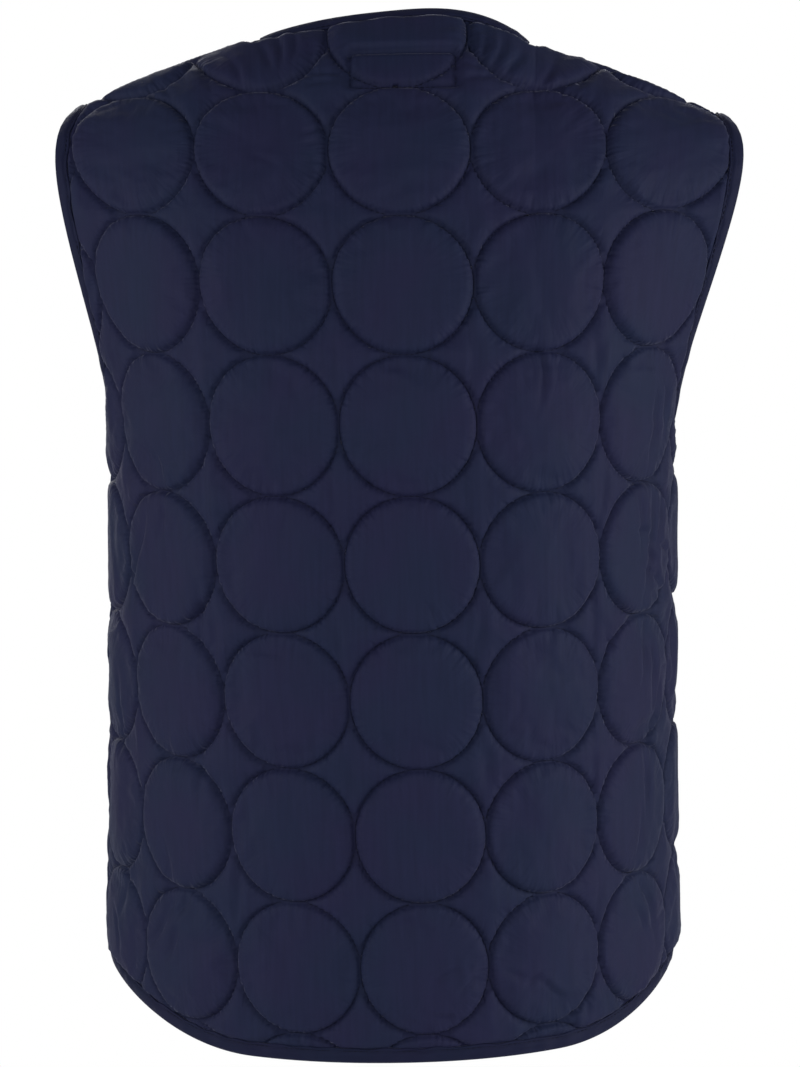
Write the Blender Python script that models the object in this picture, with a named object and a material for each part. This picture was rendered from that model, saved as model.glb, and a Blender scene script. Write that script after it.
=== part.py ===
"""Circle-quilted insulated vest, standing hollow as it is worn.

Metres, +Z up, front towards -Y, wearer's left towards +X.
The origin lies midway between the shoulders that carry the vest, level with the middle of their slopes.
Each panel is laid out flat, with a across and v up from the underarm level, and then bent onto the worn form.
"""

import math

import bmesh
import bpy
import numpy as np
from mathutils.geometry import delaunay_2d_cdt

# Quilting: touching circles on a square grid
PITCH = 0.086
CIRCLE_RADIUS = 0.0418
CROWN = 0.0062
CROWN_BETWEEN = 0.0042
PATTERN_TILT = 0.0110
PATTERN_ROW = -0.0640
PATTERN_SHIFT = -0.0096
FAN_RISE = (-0.020, 0.170)
FAN_SHIFT = 0.0035
FAN_SPREAD = 0.040
FRONT_PATTERN_ROW = -0.0580
RING_SHARES = ((1.0, 16), (0.82, 16), (0.45, 8))
STAR_RADII = (0.0095, 0.020)
SEWN_CLEARANCE = 0.0035
PATCH_FADE = 0.010

# Cloth wall
EDGE_WALL = 0.0028
SEAM_GAP = 0.0003
STATION_STEPS = {
    "hem": 0.020,
    "edge": 0.019,
    "side": 0.024,
    "shoulder": 0.014,
    "armhole": 0.014,
    "neck": 0.010,
    "throat": 0.0105,
}
INSIDE_STEP = 0.029
INSIDE_STEP_HIGH = 0.017
INSIDE_HIGH = 0.110
BOUND_INSET = 0.0092
SEAM_INSET = 0.0040
RELIEF_RISE = 0.010

# Binding strip folded round the bound edges
BINDING_WIDTH = 0.0080
BINDING_WALL = 0.0010
BINDING_GAP = 0.0008
NECK_CLIP = 0.0016
SEAM_BULK = 1.12

# Cut of the back and of the fronts
UNDERARM = -0.228
FALL = 0.985
SIDE_AT_UNDERARM = 0.272
SIDE_AT_HEM = 0.295
HEM_MIDDLE = -0.3815
HEM_RISE = 0.032
HEM_LEVEL = 0.108
HEM_TILT = 0.003
FRONT_HEM_RISE = 0.029
NECK_ACROSS = 0.088
TIP_ACROSS = 0.230
FRONT_ARMHOLE = 0.196
ARMHOLE_SCOOP = 0.075
BACK_ARMHOLE_TURN = 6
FRONT_ARMHOLE_TURN = 3
OVERLAP = 0.018
UNDER_PUSH = 0.0078
LAP_THINNED = (0.020, 0.045)
LAP_PUSHED = (0.024, 0.080)
FRONT_TOP = 0.036
FRONT_CORNER_RADIUS = 0.030
NECK_CORNER_RADIUS = 0.050

# Rectangle of stitching at the back neck: across, up from the top of the first full row, width, height
NECK_PATCH = (-0.0065, 0.0005, 0.067, 0.027)

# Press studs down the middle of the front
STUD_COUNT = 5
STUD_RADIUS = 0.0062
STUD_HEIGHT = 0.0022
STUD_TOP = 0.006
STUD_BOTTOM = -0.340
STUD_SIDES = 12
STUD_PROFILE = ((1.0, 0.0), (1.0, 0.40), (0.80, 0.85), (0.40, 1.0))
STUD_PRESS_RADII = (0.0080, 0.0150)
STUD_CLEAR = 0.019

# Sections of the worn form, lowest first.
# half_width is the widest point from the middle, side the depth of that point behind the shoulders,
# flatness 1 is a round arc and 2 a flat panel that turns tightly at the side, ease the cloth drawn in.
SECTION_COLUMNS = ("height", "half_width", "side", "back_flatness", "front_flatness", "ease")
SECTIONS = (
    (-0.656, 0.1880, -0.041, 1.12, 1.45, 0.917),
    (-0.446, 0.1826, -0.034, 1.05, 1.45, 0.940),
    (-0.228, 0.1774, 0.000, 1.27, 1.50, 0.963),
)
TURN_AT_UNDERARM = 0.0020
TURN_AT_HEM = 0.0109
TURN_RUN = 0.400

# Neck and shoulder line on each side of the wearer.
# The tip lies at TIP_ACROSS on the flat cloth, and the seam ends at seam_end, where the armhole turns in.
SHOULDER_COLUMNS = ("side", "neck_x", "neck_z", "tip_x", "tip_z", "back_armhole", "seam_end")
SHOULDERS = (
    (1, 0.0840, 0.0270, 0.2145, -0.0226, 0.237, 0.217),
    (-1, 0.0865, 0.0246, 0.2290, -0.0285, 0.231, 0.217),
)
NAPE_Y = 0.0394
NAPE_Z = 0.0435
NECK_Y = 0.0240
NECK_SLANT = -0.008
SHOULDER_BOW = 0.002
TIP_Y = -0.0100
THROAT_Y = -0.070
THROAT_Z = 0.004
RISE_STIFFNESS = 0.66
CREST_STIFFNESS = 1.09
LEAN_NAPE = math.radians(53)
LEAN_SHOULDER = math.radians(76)
LEAN_THROAT = math.radians(50)

ARC_NODES, ARC_WEIGHTS = np.polynomial.legendre.leggauss(16)
MERIDIAN_STEPS = 24


def smooth_step(low, high, value):
    """0 below low, 1 above high and a soft S between them."""
    share = np.clip((value - low) / (high - low), 0, 1)
    return share * share * (3 - 2 * share)


def section(name, height):
    """A column of the section table on a smooth curve through its rows, level at the underarm."""
    heights = np.array([row[0] for row in SECTIONS])
    values = np.array([row[SECTION_COLUMNS.index(name)] for row in SECTIONS])
    slopes = np.gradient(values, heights)
    slopes[-1] = 0
    at = np.clip(height, heights[0], heights[-1])
    low = np.clip(np.searchsorted(heights, at, side="right") - 1, 0, len(heights) - 2)
    gap = heights[low + 1] - heights[low]
    t = (at - heights[low]) / gap
    start = (1 + 2 * t) * (1 - t) ** 2 * values[low] + t * (1 - t) ** 2 * gap * slopes[low]
    end = t * t * (3 - 2 * t) * values[low + 1] + t * t * (t - 1) * gap * slopes[low + 1]
    return start + end


def turned_arc(share, flatness):
    """Point after a share of a unit arc that sets out along x and turns to run along y."""
    steps = share[..., None] * (ARC_NODES + 1) / 2
    angle = math.pi / 2 * steps ** flatness[..., None]
    x = (np.cos(angle) * ARC_WEIGHTS).sum(-1) * share / 2
    y = (np.sin(angle) * ARC_WEIGHTS).sum(-1) * share / 2
    return x, y


def section_lengths(height):
    """Length of a quarter of the section at the back and the front, and their depths."""
    whole = np.ones_like(height)
    back_x, back_y = turned_arc(whole, section("back_flatness", height))
    front_x, front_y = turned_arc(whole, section("front_flatness", height))
    width = section("half_width", height)
    return width / back_x, width / front_x, width / back_x * back_y, width / front_x * front_y


def form_point(height, along):
    """Point of the form at a height, at a length along the section from the middle of the back."""
    side = np.where(along < 0, -1.0, 1.0)
    length = np.abs(along)
    back, front, back_depth, front_depth = section_lengths(height)
    back_x, back_y = turned_arc(np.clip(length / back, 0, 1), section("back_flatness", height))
    to_front = back + front - length
    front_share = np.clip(np.abs(to_front) / front, 0, 1)
    front_x, front_y = turned_arc(front_share, section("front_flatness", height))
    on_back = length <= back
    x = np.where(on_back, back * back_x, np.sign(to_front) * front * front_x) * side
    depth = section("side", height)
    y = np.where(on_back, depth + back_depth - back * back_y, depth - front_depth + front * front_y)
    return np.stack([x, y, height], -1)


def turn(height):
    """How far the vest is turned round the body, towards the wearer's right at the back."""
    share = np.clip((UNDERARM - height) / TURN_RUN, 0, 1.2)
    return TURN_AT_UNDERARM + (TURN_AT_HEM - TURN_AT_UNDERARM) * share


def half_round(height):
    """Length of half the section."""
    back, front, _, _ = section_lengths(height)
    return back + front


def side_seam(v):
    """Across measure of the side seam on the back panel."""
    return SIDE_AT_UNDERARM + (SIDE_AT_HEM - SIDE_AT_UNDERARM) * np.clip(v / HEM_MIDDLE, 0, 1.2)


def side_low(side):
    """Lower end v of the side seam on each side."""
    return HEM_MIDDLE + HEM_RISE - HEM_TILT * side


def level(v):
    """Height of the cloth at v, up to the underarm."""
    return UNDERARM + np.minimum(v, 0) * FALL


def front_side_seam(v):
    """Across measure of the side seam on a front, from the middle of the front."""
    height = level(v)
    return half_round(height) - side_seam(v) * section("ease", height)


def on_side(name, side):
    """A column of the shoulder table on the left, 1, or the right, -1."""
    left, right = [row[SHOULDER_COLUMNS.index(name)] for row in SHOULDERS]
    return np.where(side > 0, left, right)


def shoulder_line(share, side):
    """Point of the shoulder seam from the neck, 0, to the tip, 1, on each side."""
    neck_x, neck_z = on_side("neck_x", side), on_side("neck_z", side)
    tip_x, tip_z = on_side("tip_x", side), on_side("tip_z", side)
    x = (neck_x + (tip_x - neck_x) * share) * side
    y = NECK_Y + (TIP_Y - NECK_Y) * share
    on_seam = np.clip(share, 0, 1)
    z = neck_z + (tip_z - neck_z) * share + SHOULDER_BOW * 4 * on_seam * (1 - on_seam)
    return np.stack([x, y, z], -1)


def neck_line(share, side, middle_y, middle_z):
    """Point of the neck line from its middle, 0, to the shoulder seam, 1."""
    end = shoulder_line(np.zeros_like(share), side)
    x = end[..., 0] * share
    y = middle_y + (end[..., 1] - middle_y) * share**2
    z = middle_z + (end[..., 2] - middle_z) * np.abs(share) ** 2.8
    z = z + NECK_SLANT * side * share * (1 - share**2)
    return np.stack([x, y, z], -1)


def bend_up(base, top, lean, up):
    """Point at a length up a curve that leaves base upright and reaches top leaning, and its whole length.

    lean is the signed angle from upright at the top, towards +Y.
    """
    chord = np.linalg.norm(top - base, axis=-1)
    zero = np.zeros_like(chord)
    rise = np.stack([zero, zero, chord * RISE_STIFFNESS], -1)
    crest = np.stack([zero, np.sin(lean) * chord, np.cos(lean) * chord], -1) * CREST_STIFFNESS
    t = np.linspace(0, 1, MERIDIAN_STEPS + 1)[:, None]
    curve = (1 + 2 * t) * (1 - t) ** 2 * base[:, None] + t * (1 - t) ** 2 * rise[:, None]
    curve = curve + t * t * (3 - 2 * t) * top[:, None] + t * t * (t - 1) * crest[:, None]
    lengths = np.linalg.norm(np.diff(curve, axis=1), axis=-1)
    reached = np.concatenate([zero[:, None], np.cumsum(lengths, 1)], 1)
    low = np.clip((reached <= up[:, None]).sum(1) - 1, 0, MERIDIAN_STEPS - 1)
    pick = np.arange(len(low))
    share = (up - reached[pick, low]) / lengths[pick, low]
    point = curve[pick, low] + (curve[pick, low + 1] - curve[pick, low]) * share[:, None]
    return point, reached[:, -1]


class Back:
    """The back panel; a runs from the middle towards the wearer's left."""

    name = "back_panel"
    row = PATTERN_ROW
    tilt = PATTERN_TILT
    shift = PATTERN_SHIFT

    def bend(self, a, v):
        height = level(v)
        low = form_point(height, a * section("ease", height) - turn(height))
        side = np.where(a < 0, -1.0, 1.0)
        across = np.abs(a)
        on_neck = across < NECK_ACROSS
        neck = neck_line(np.clip(across / NECK_ACROSS, 0, 1), side, NAPE_Y, NAPE_Z)
        shoulder = shoulder_line((across - NECK_ACROSS) / (TIP_ACROSS - NECK_ACROSS), side)
        top = np.where(on_neck[:, None], neck, shoulder)
        outer = smooth_step(0.6 * NECK_ACROSS, 1.6 * NECK_ACROSS, across)
        lean = LEAN_NAPE + (LEAN_SHOULDER - LEAN_NAPE) * outer
        high, length = bend_up(low, top, -lean, np.maximum(v, 0))
        return np.where((v > 0)[:, None], high, low), length

    def thinned(self, a, v):
        return np.ones_like(a)

    def push(self, a):
        return np.zeros_like(a)


class Front:
    """A front panel; a runs from the middle of the front towards its side seam."""

    row = FRONT_PATTERN_ROW
    tilt = 0.0
    shift = PITCH / 2

    def __init__(self, name, side, under):
        self.name = name
        self.side = side
        self.under = under

    def bend(self, a, v):
        height = level(v)
        low = form_point(height, self.side * (half_round(height) - a) - turn(height))
        side = np.full_like(a, self.side)
        on_neck = a < NECK_ACROSS
        neck = neck_line(np.maximum(a / NECK_ACROSS, -0.5), side, THROAT_Y, THROAT_Z)
        shoulder = shoulder_line((a - NECK_ACROSS) / (TIP_ACROSS - NECK_ACROSS), side)
        top = np.where(on_neck[:, None], neck, shoulder)
        outer = smooth_step(0.2 * NECK_ACROSS, 1.3 * NECK_ACROSS, a)
        lean = LEAN_THROAT + (LEAN_SHOULDER - LEAN_THROAT) * outer
        high, length = bend_up(low, top, lean, np.maximum(v, 0))
        return np.where((v > 0)[:, None], high, low), length

    def thinned(self, a, v):
        """Padding left where the overlap and the press studs flatten it."""
        if self.under:
            return smooth_step(*LAP_THINNED, a)
        nearest = np.min([np.hypot(a, v - stud) for stud in stud_heights()], axis=0)
        return smooth_step(*STUD_PRESS_RADII, nearest)

    def push(self, a):
        """How far the under front goes in below the one that laps over it."""
        if not self.under:
            return np.zeros_like(a)
        return UNDER_PUSH * (1 - smooth_step(*LAP_PUSHED, a))


def stud_heights():
    """Places of the press studs, evenly spaced."""
    return np.linspace(STUD_TOP, STUD_BOTTOM, STUD_COUNT)


def place(panel, a, v, out):
    """Points of a panel, moved out from its inside by out."""
    step = 0.0004
    here, _ = panel.bend(a, v)
    across = panel.bend(a + step, v)[0] - panel.bend(a - step, v)[0]
    up = panel.bend(a, v + step)[0] - panel.bend(a, v - step)[0]
    normal = np.cross(up, across)
    normal /= np.linalg.norm(normal, axis=1)[:, None]
    middle = np.array([0, section("side", np.array([UNDERARM]))[0], 0])
    outward = here - middle
    outward[:, 2] = np.maximum(here[:, 2] + 0.12, 0)
    normal *= np.sign((normal * outward).sum(1))[:, None]
    return here + normal * (out - panel.push(a))[:, None]


def fanned(a, v):
    """How far the back's pattern moves out towards the left shoulder, where the cloth is less drawn in."""
    rise = smooth_step(*FAN_RISE, v)
    return rise * (FAN_SHIFT * smooth_step(-PITCH, 0, a) + FAN_SPREAD * np.maximum(a, 0))


def circle_centres(panel):
    """Centres of the quilting circles on the flat cloth."""
    columns, rows = np.meshgrid(np.arange(-5, 6), np.arange(-5, 6))
    c, s = math.cos(panel.tilt), math.sin(panel.tilt)
    a = PITCH * (columns * c - rows * s) + panel.shift
    v = panel.row - PITCH * (rows * c + columns * s)
    if isinstance(panel, Back):
        a = a + fanned(a, v)
    return np.stack([a.ravel(), v.ravel()], 1)


def pillow(panel, points):
    """Padding height over the stitch lines: a full crown in each circle, a lower one between circles."""
    centres = circle_centres(panel)
    reach = np.linalg.norm(points[:, None] - centres[None], axis=2).min(1)
    inside = np.clip(reach / CIRCLE_RADIUS, 0, 1)
    crown = CROWN * (1 - inside**2.6) ** 0.62
    corner = PITCH * math.sqrt(0.5) - CIRCLE_RADIUS
    between = np.clip((reach - CIRCLE_RADIUS) / corner, 0, 1)
    return crown + CROWN_BETWEEN * np.sin(between * math.pi / 2) ** 0.9


def neck_patch():
    """Corners of the stitched rectangle on the back."""
    a, above, width, height = NECK_PATCH
    v = PATTERN_ROW + 3.5 * PITCH + above
    left, right, top = a - width / 2, a + width / 2, v + height
    return np.array([(left, v), (right, v), (right, top), (left, top)])


def to_segments(points, starts, ends):
    """Distance of each point from the nearest of some segments."""
    along = ends - starts
    t = ((points[:, None] - starts) * along).sum(2) / (along**2).sum(1)
    nearest = starts + np.clip(t, 0, 1)[..., None] * along
    return np.linalg.norm(points[:, None] - nearest, axis=2).min(1)


def within(points, loop):
    """Which points lie inside a closed loop."""
    x, y = points[:, 0][:, None], points[:, 1][:, None]
    x0, y0 = loop[:, 0], loop[:, 1]
    x1, y1 = np.roll(x0, -1), np.roll(y0, -1)
    crosses = (y0 > y) != (y1 > y)
    at = x0 + (y - y0) / np.where(y1 == y0, 1, y1 - y0) * (x1 - x0)
    return (crosses & (x < at)).sum(1) % 2 == 1


def spaced(curve, step):
    """A flat curve set out again in even steps, with its two ends kept."""
    lengths = np.linalg.norm(np.diff(curve, axis=0), axis=1)
    reached = np.concatenate([[0], np.cumsum(lengths)])
    count = max(2, round(reached[-1] / step))
    at = np.linspace(0, reached[-1], count + 1)
    return np.stack([np.interp(at, reached, curve[:, k]) for k in (0, 1)], 1)


def rounded(before, corner, after, radius):
    """Points of a flat corner rounded to a radius."""
    first = (before - corner) / np.linalg.norm(before - corner)
    last = (after - corner) / np.linalg.norm(after - corner)
    half = math.acos(float(np.clip(first @ last, -1, 1))) / 2
    back = radius / math.tan(half)
    start, end = corner + first * back, corner + last * back
    t = np.linspace(0, 1, 9)[:, None]
    weight = math.sin(half)
    top = (1 - t) ** 2 * start + 2 * t * (1 - t) * weight * corner + t * t * end
    return top / ((1 - t) ** 2 + 2 * t * (1 - t) * weight + t * t)


def armhole(inner, low, end, top, turn_power):
    """Flat armhole edge, round at the underarm and turned to the end of the shoulder seam at the top."""
    v = (1 - np.cos(np.linspace(0, math.pi, 80))) / 2 * top
    down = np.clip(1 - v / ARMHOLE_SCOOP, 0, 1)
    curve = inner + (low - inner) * (1 - np.sqrt(1 - down**2))
    return np.stack([curve + (end - inner) * (v / top) ** turn_power, v], 1)


def seam_top(panel, a):
    """Height v of the top edge of a panel."""
    return panel.bend(np.atleast_1d(a), np.full(np.size(a), 0.01))[1]


def back_edges(panel):
    """Edges of the back panel in order, as name, flat points and bound or seam."""
    side = np.linspace(-1, 1, 121)
    half = SIDE_AT_HEM - 0.0012
    rise = HEM_RISE * smooth_step(HEM_LEVEL, half, np.abs(side) * half) - HEM_TILT * side
    hem = np.stack([side * half, HEM_MIDDLE + rise], 1)
    for end, hand in ((0, -1), (-1, 1)):
        hem[end, 0] = hand * side_seam(hem[end, 1])
    edges = [("hem", hem, "bound")]
    neck_a = np.linspace(NECK_ACROSS, -NECK_ACROSS, 61)
    for hand in (1, -1):
        seam_v = np.linspace(side_low(hand), 0, 40)
        seam = np.stack([side_seam(seam_v), seam_v], 1)
        end = on_side("seam_end", hand)
        top = seam_top(panel, hand * end)[0]
        inner = on_side("back_armhole", hand)
        hole = armhole(inner, SIDE_AT_UNDERARM, end, top, BACK_ARMHOLE_TURN) * (hand, 1)
        across = hand * np.linspace(end, NECK_ACROSS, 30)
        shoulder = np.stack([across, seam_top(panel, across)], 1)
        run = [("side", seam * (hand, 1), "seam"), ("armhole", hole, "bound"), ("shoulder", shoulder, "seam")]
        if hand > 0:
            edges += run + [("neck", np.stack([neck_a, seam_top(panel, neck_a)], 1), "bound")]
        else:
            edges += [(name, points[::-1], kind) for name, points, kind in reversed(run)]
    return edges


def front_edges(panel):
    """Edges of a front in order, as name, flat points and bound or seam."""
    low = side_low(panel.side)
    seam_v = np.linspace(low, 0, 40)
    seam = np.stack([front_side_seam(seam_v), seam_v], 1)
    share = np.linspace(0, 1, 60)
    hem_a = -OVERLAP + (seam[0, 0] + OVERLAP) * share
    hem = np.stack([hem_a, low - FRONT_HEM_RISE * (1 - smooth_step(HEM_LEVEL, seam[0, 0], hem_a))], 1)
    end = on_side("seam_end", panel.side)
    top = seam_top(panel, end)[0]
    hole = armhole(FRONT_ARMHOLE, seam[-1, 0], end, top, FRONT_ARMHOLE_TURN)
    across = np.linspace(end, NECK_ACROSS, 30)
    shoulder = np.stack([across, seam_top(panel, across)], 1)
    turn_point = np.array([-OVERLAP, FRONT_TOP])
    corner = hem[0]
    neck_turn = rounded(shoulder[-1], turn_point, corner, NECK_CORNER_RADIUS)
    hem_turn = rounded(turn_point, corner, hem[8], FRONT_CORNER_RADIUS)
    after = hem[hem[:, 0] > hem_turn[-1, 0] + 0.004]
    throat = np.stack([shoulder[-1], neck_turn[0]])
    edge = np.concatenate([neck_turn, hem_turn, after])
    seams = [("side", seam, "seam"), ("armhole", hole, "bound"), ("shoulder", shoulder, "seam")]
    return seams + [("throat", throat, "bound"), ("edge", edge, "bound")]


def outline(edges):
    """Closed loop of stations, the inset of each, and where each edge starts and ends in it."""
    loop, inset, spans = [], [], {}
    for name, curve, kind in edges:
        stations = spaced(curve, STATION_STEPS[name])
        key = name if name not in spans else name + "_2"
        spans[key] = (len(loop), len(loop) + len(stations) - 1)
        loop += list(stations[:-1])
        inset += [BOUND_INSET if kind == "bound" else SEAM_INSET] * (len(stations) - 1)
    return np.array(loop), np.array(inset), spans


def inward(loop):
    """Unit direction into a closed counter-clockwise loop at each station, and how sharp the corner is."""
    ahead = np.roll(loop, -1, 0) - loop
    ahead /= np.linalg.norm(ahead, axis=1)[:, None]
    behind = np.roll(ahead, 1, 0)
    sides = np.stack([-ahead[:, 1], ahead[:, 0]], 1), np.stack([-behind[:, 1], behind[:, 0]], 1)
    middle = sides[0] + sides[1]
    middle /= np.linalg.norm(middle, axis=1)[:, None]
    return middle, np.clip((middle * sides[0]).sum(1), 0.5, 1)


def ring_points(centre, radius, count, turned):
    """A ring of points round a centre."""
    angle = turned + np.arange(count) / count * math.tau
    return centre + radius * np.stack([np.cos(angle), np.sin(angle)], 1)


def quilt_points(panel, inner):
    """Points and sewn edges of the quilting that fall well inside a panel."""
    starts, ends = inner, np.roll(inner, -1, 0)
    patch = neck_patch() if panel.name == "back_panel" else None
    points, sewn = [], []

    def keep(group, margin):
        clear = within(group, inner) & (to_segments(group, starts, ends) > margin)
        if patch is not None:
            clear &= to_segments(group, patch, np.roll(patch, -1, 0)) > SEWN_CLEARANCE
        return clear

    for centre in circle_centres(panel):
        for share, count in RING_SHARES:
            ring = ring_points(centre, CIRCLE_RADIUS * share, count, panel.tilt)
            clear = keep(ring, SEWN_CLEARANCE)
            index = np.cumsum(clear) - 1 + len(points)
            if share == 1.0:
                pairs = [(k, (k + 1) % count) for k in range(count)]
                sewn += [(index[i], index[j]) for i, j in pairs if clear[i] and clear[j]]
            points += list(ring[clear])
        corner = centre + PITCH / 2 * np.array([1.0, 1.0])
        near, far = STAR_RADII
        star = [ring_points(corner, near, 4, math.pi / 4), ring_points(corner, far, 4, 0)]
        star = np.concatenate([[centre, corner]] + star)
        points += list(star[keep(star, SEWN_CLEARANCE)])
    if patch is not None:
        first = len(points)
        for k in range(4):
            points += list(patch[k] + (patch[(k + 1) % 4] - patch[k]) * np.linspace(0, 1, 6)[:-1, None])
        count = len(points) - first
        sewn += [(first + k, first + (k + 1) % count) for k in range(count)]
    if isinstance(panel, Front) and not panel.under:
        studs = [np.array([0, v]) for v in stud_heights()]
        points = [p if min(np.linalg.norm(p - s) for s in studs) > STUD_CLEAR else None for p in points]
        order = np.cumsum([p is not None for p in points]) - 1
        sewn = [(order[i], order[j]) for i, j in sewn if points[i] is not None and points[j] is not None]
        points = [p for p in points if p is not None]
        for stud in studs:
            near, far = STUD_PRESS_RADII
            group = np.concatenate([[stud], ring_points(stud, near, 8, 0), ring_points(stud, far, 10, 0.2)])
            points += list(group[keep(group, 0.0015)])
    return np.array(points), sewn


def inside_points(inner):
    """An even, staggered set of points inside a panel for its plain inner side."""
    low, high = inner.min(0), inner.max(0)
    kept = []
    bands = (INSIDE_STEP, low[1], INSIDE_HIGH), (INSIDE_STEP_HIGH, INSIDE_HIGH + 0.01, high[1])
    for step, bottom, top in bands:
        points = []
        for k, v in enumerate(np.arange(bottom, top, step * 0.87)):
            points += [(a, v) for a in np.arange(low[0] + (k % 2) * step / 2, high[0], step)]
        points = np.array(points)
        clear = within(points, inner) & (to_segments(points, inner, np.roll(inner, -1, 0)) > step * 0.35)
        kept.append(points[clear])
    return np.concatenate(kept)


def triangles(loop, inner, points, sewn):
    """Flat triangles over the loop, the inset loop and the points, with the sewn edges kept."""
    n, m = len(loop), len(inner)
    flat = [tuple(p) for p in loop] + [tuple(p) for p in inner] + [tuple(p) for p in points]
    edges = [(k, (k + 1) % n) for k in range(n)]
    edges += [(n + k, n + (k + 1) % m) for k in range(m)]
    edges += [(k, n + k) for k in range(n)]
    edges += [(n + m + i, n + m + j) for i, j in sewn]
    found = delaunay_2d_cdt(flat, edges, [], 1, 1e-7)
    verts, faces, origins = found[0], found[2], found[3]
    return np.array([tuple(v) for v in verts]), faces, origins


def new_object(name, verts, faces, material):
    """An object from points and faces, facing outwards."""
    mesh = bpy.data.meshes.new(name)
    mesh.from_pydata([tuple(v) for v in verts], [], faces)
    shape = bmesh.new()
    shape.from_mesh(mesh)
    bmesh.ops.remove_doubles(shape, verts=shape.verts, dist=2e-6)
    bmesh.ops.triangulate(shape, faces=shape.faces)
    bmesh.ops.recalc_face_normals(shape, faces=shape.faces)
    shape.to_mesh(mesh)
    shape.free()
    mesh.materials.append(material)
    thing = bpy.data.objects.new(name, mesh)
    bpy.context.scene.collection.objects.link(thing)
    return thing


def panel_solid(panel, edges, material):
    """A quilted panel: a plain inner side, a raised outer side and a rim between them."""
    loop, inset, spans = outline(edges)
    direction, sharp = inward(loop)
    for first, last in spans.values():
        corner = first % len(loop)
        inset[corner] = max(inset[corner], inset[corner - 1])
    seams = np.zeros(len(loop), bool)
    for name, (first, last) in spans.items():
        if name.startswith(("side", "shoulder")):
            seams[np.arange(first, last + 1) % len(loop)] = True
    inner = loop + direction * (inset / sharp)[:, None]
    cut = loop + direction * np.where(seams, SEAM_GAP / 2, 0)[:, None]
    points, sewn = quilt_points(panel, inner)
    verts, faces, origins = triangles(cut, inner, points, sewn)
    starts, ends = inner, np.roll(inner, -1, 0)
    rise = smooth_step(0, RELIEF_RISE, to_segments(verts, starts, ends)) * within(verts, inner)
    height = pillow(panel, verts) * rise * panel.thinned(verts[:, 0], verts[:, 1])
    if panel.name == "back_panel":
        patch = neck_patch()
        height *= smooth_step(0, PATCH_FADE, to_segments(verts, patch, np.roll(patch, -1, 0)))
    outer = place(panel, verts[:, 0], verts[:, 1], EDGE_WALL + height)
    flat, inside_faces, inside_origins = triangles(cut, inner, inside_points(inner), [])
    plain = place(panel, flat[:, 0], flat[:, 1], np.zeros(len(flat)))
    base = len(outer)
    count = len(loop)
    at = {source: k for k, sources in enumerate(origins) for source in sources}
    under = {source: base + k for k, sources in enumerate(inside_origins) for source in sources}
    solid = [tuple(f) for f in faces] + [tuple(base + k for k in reversed(f)) for f in inside_faces]
    for k in range(count):
        after = (k + 1) % count
        solid.append((at[k], under[k], under[after], at[after]))
    new_object(panel.name, np.concatenate([outer, plain]), solid, material)
    return {"panel": panel, "loop": loop, "direction": direction, "spans": spans}


def strip_profile():
    """Section of a folded binding as distance in from the cloth's edge and height over its inside."""
    gap, wall, width, thick = BINDING_GAP, BINDING_WALL, BINDING_WIDTH, EDGE_WALL
    return (
        (width, thick + gap),
        (width, thick + gap + wall),
        (-gap, thick + gap + wall),
        (-gap - 1.4 * wall, thick / 2),
        (-gap, -gap - wall),
        (width, -gap - wall),
        (width, -gap),
        (-gap, -gap),
        (-gap, thick + gap),
    )


def edge_run(laid, names, clips, flip=False):
    """Stations along edges that follow each other, as panel, flat points and inward directions.

    The first and last lie along the seams that end there, and are pulled in by clips.
    """
    first, last = laid["spans"][names[0]][0], laid["spans"][names[-1]][1]
    loop = laid["loop"]
    count = len(loop)
    index = np.arange(first, last + 1) % count
    points = loop[index].copy()
    ahead = np.gradient(points, axis=0)
    ahead /= np.linalg.norm(ahead, axis=1)[:, None]
    direction = np.stack([-ahead[:, 1], ahead[:, 0]], 1)
    for end, beside in ((0, loop[(first - 1) % count]), (-1, loop[(last + 1) % count])):
        seam = (beside - points[end]) / np.linalg.norm(beside - points[end])
        direction[end] = seam if seam @ direction[end] > 0.6 else direction[end]
    points[0] += ahead[0] * clips[0]
    points[-1] -= ahead[-1] * clips[1]
    if flip:
        points, direction = points[::-1], direction[::-1]
    return laid["panel"], points, direction


def binding(name, runs, closed, material):
    """A folded strip along one panel's edge, or closed along runs of two panels that meet at both ends."""
    profile = strip_profile()
    size = len(profile)
    stations = []
    for panel, points, direction in runs:
        rings = []
        for inward_by, out in profile:
            flat = points + direction * inward_by
            rings.append(place(panel, flat[:, 0], flat[:, 1], np.full(len(points), out)))
        stations.append(np.stack(rings, 1))
    if closed:
        first, second = stations
        for end, meets in ((0, -1), (-1, 0)):
            shared = (first[end] + second[meets]) / 2
            middle = shared.mean(0)
            first[end] = middle + (shared - middle) * SEAM_BULK
        stations = [first, second[1:-1]]
    verts = np.concatenate(stations)
    count = len(verts)
    faces = []
    for k in range(count if closed else count - 1):
        after = (k + 1) % count
        for p in range(size):
            q = (p + 1) % size
            faces.append((k * size + p, k * size + q, after * size + q, after * size + p))
    if not closed:
        faces.append(tuple(range(size)))
        faces.append(tuple((count - 1) * size + p for p in reversed(range(size))))
    new_object(name, verts.reshape(-1, 3), faces, material)


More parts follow.
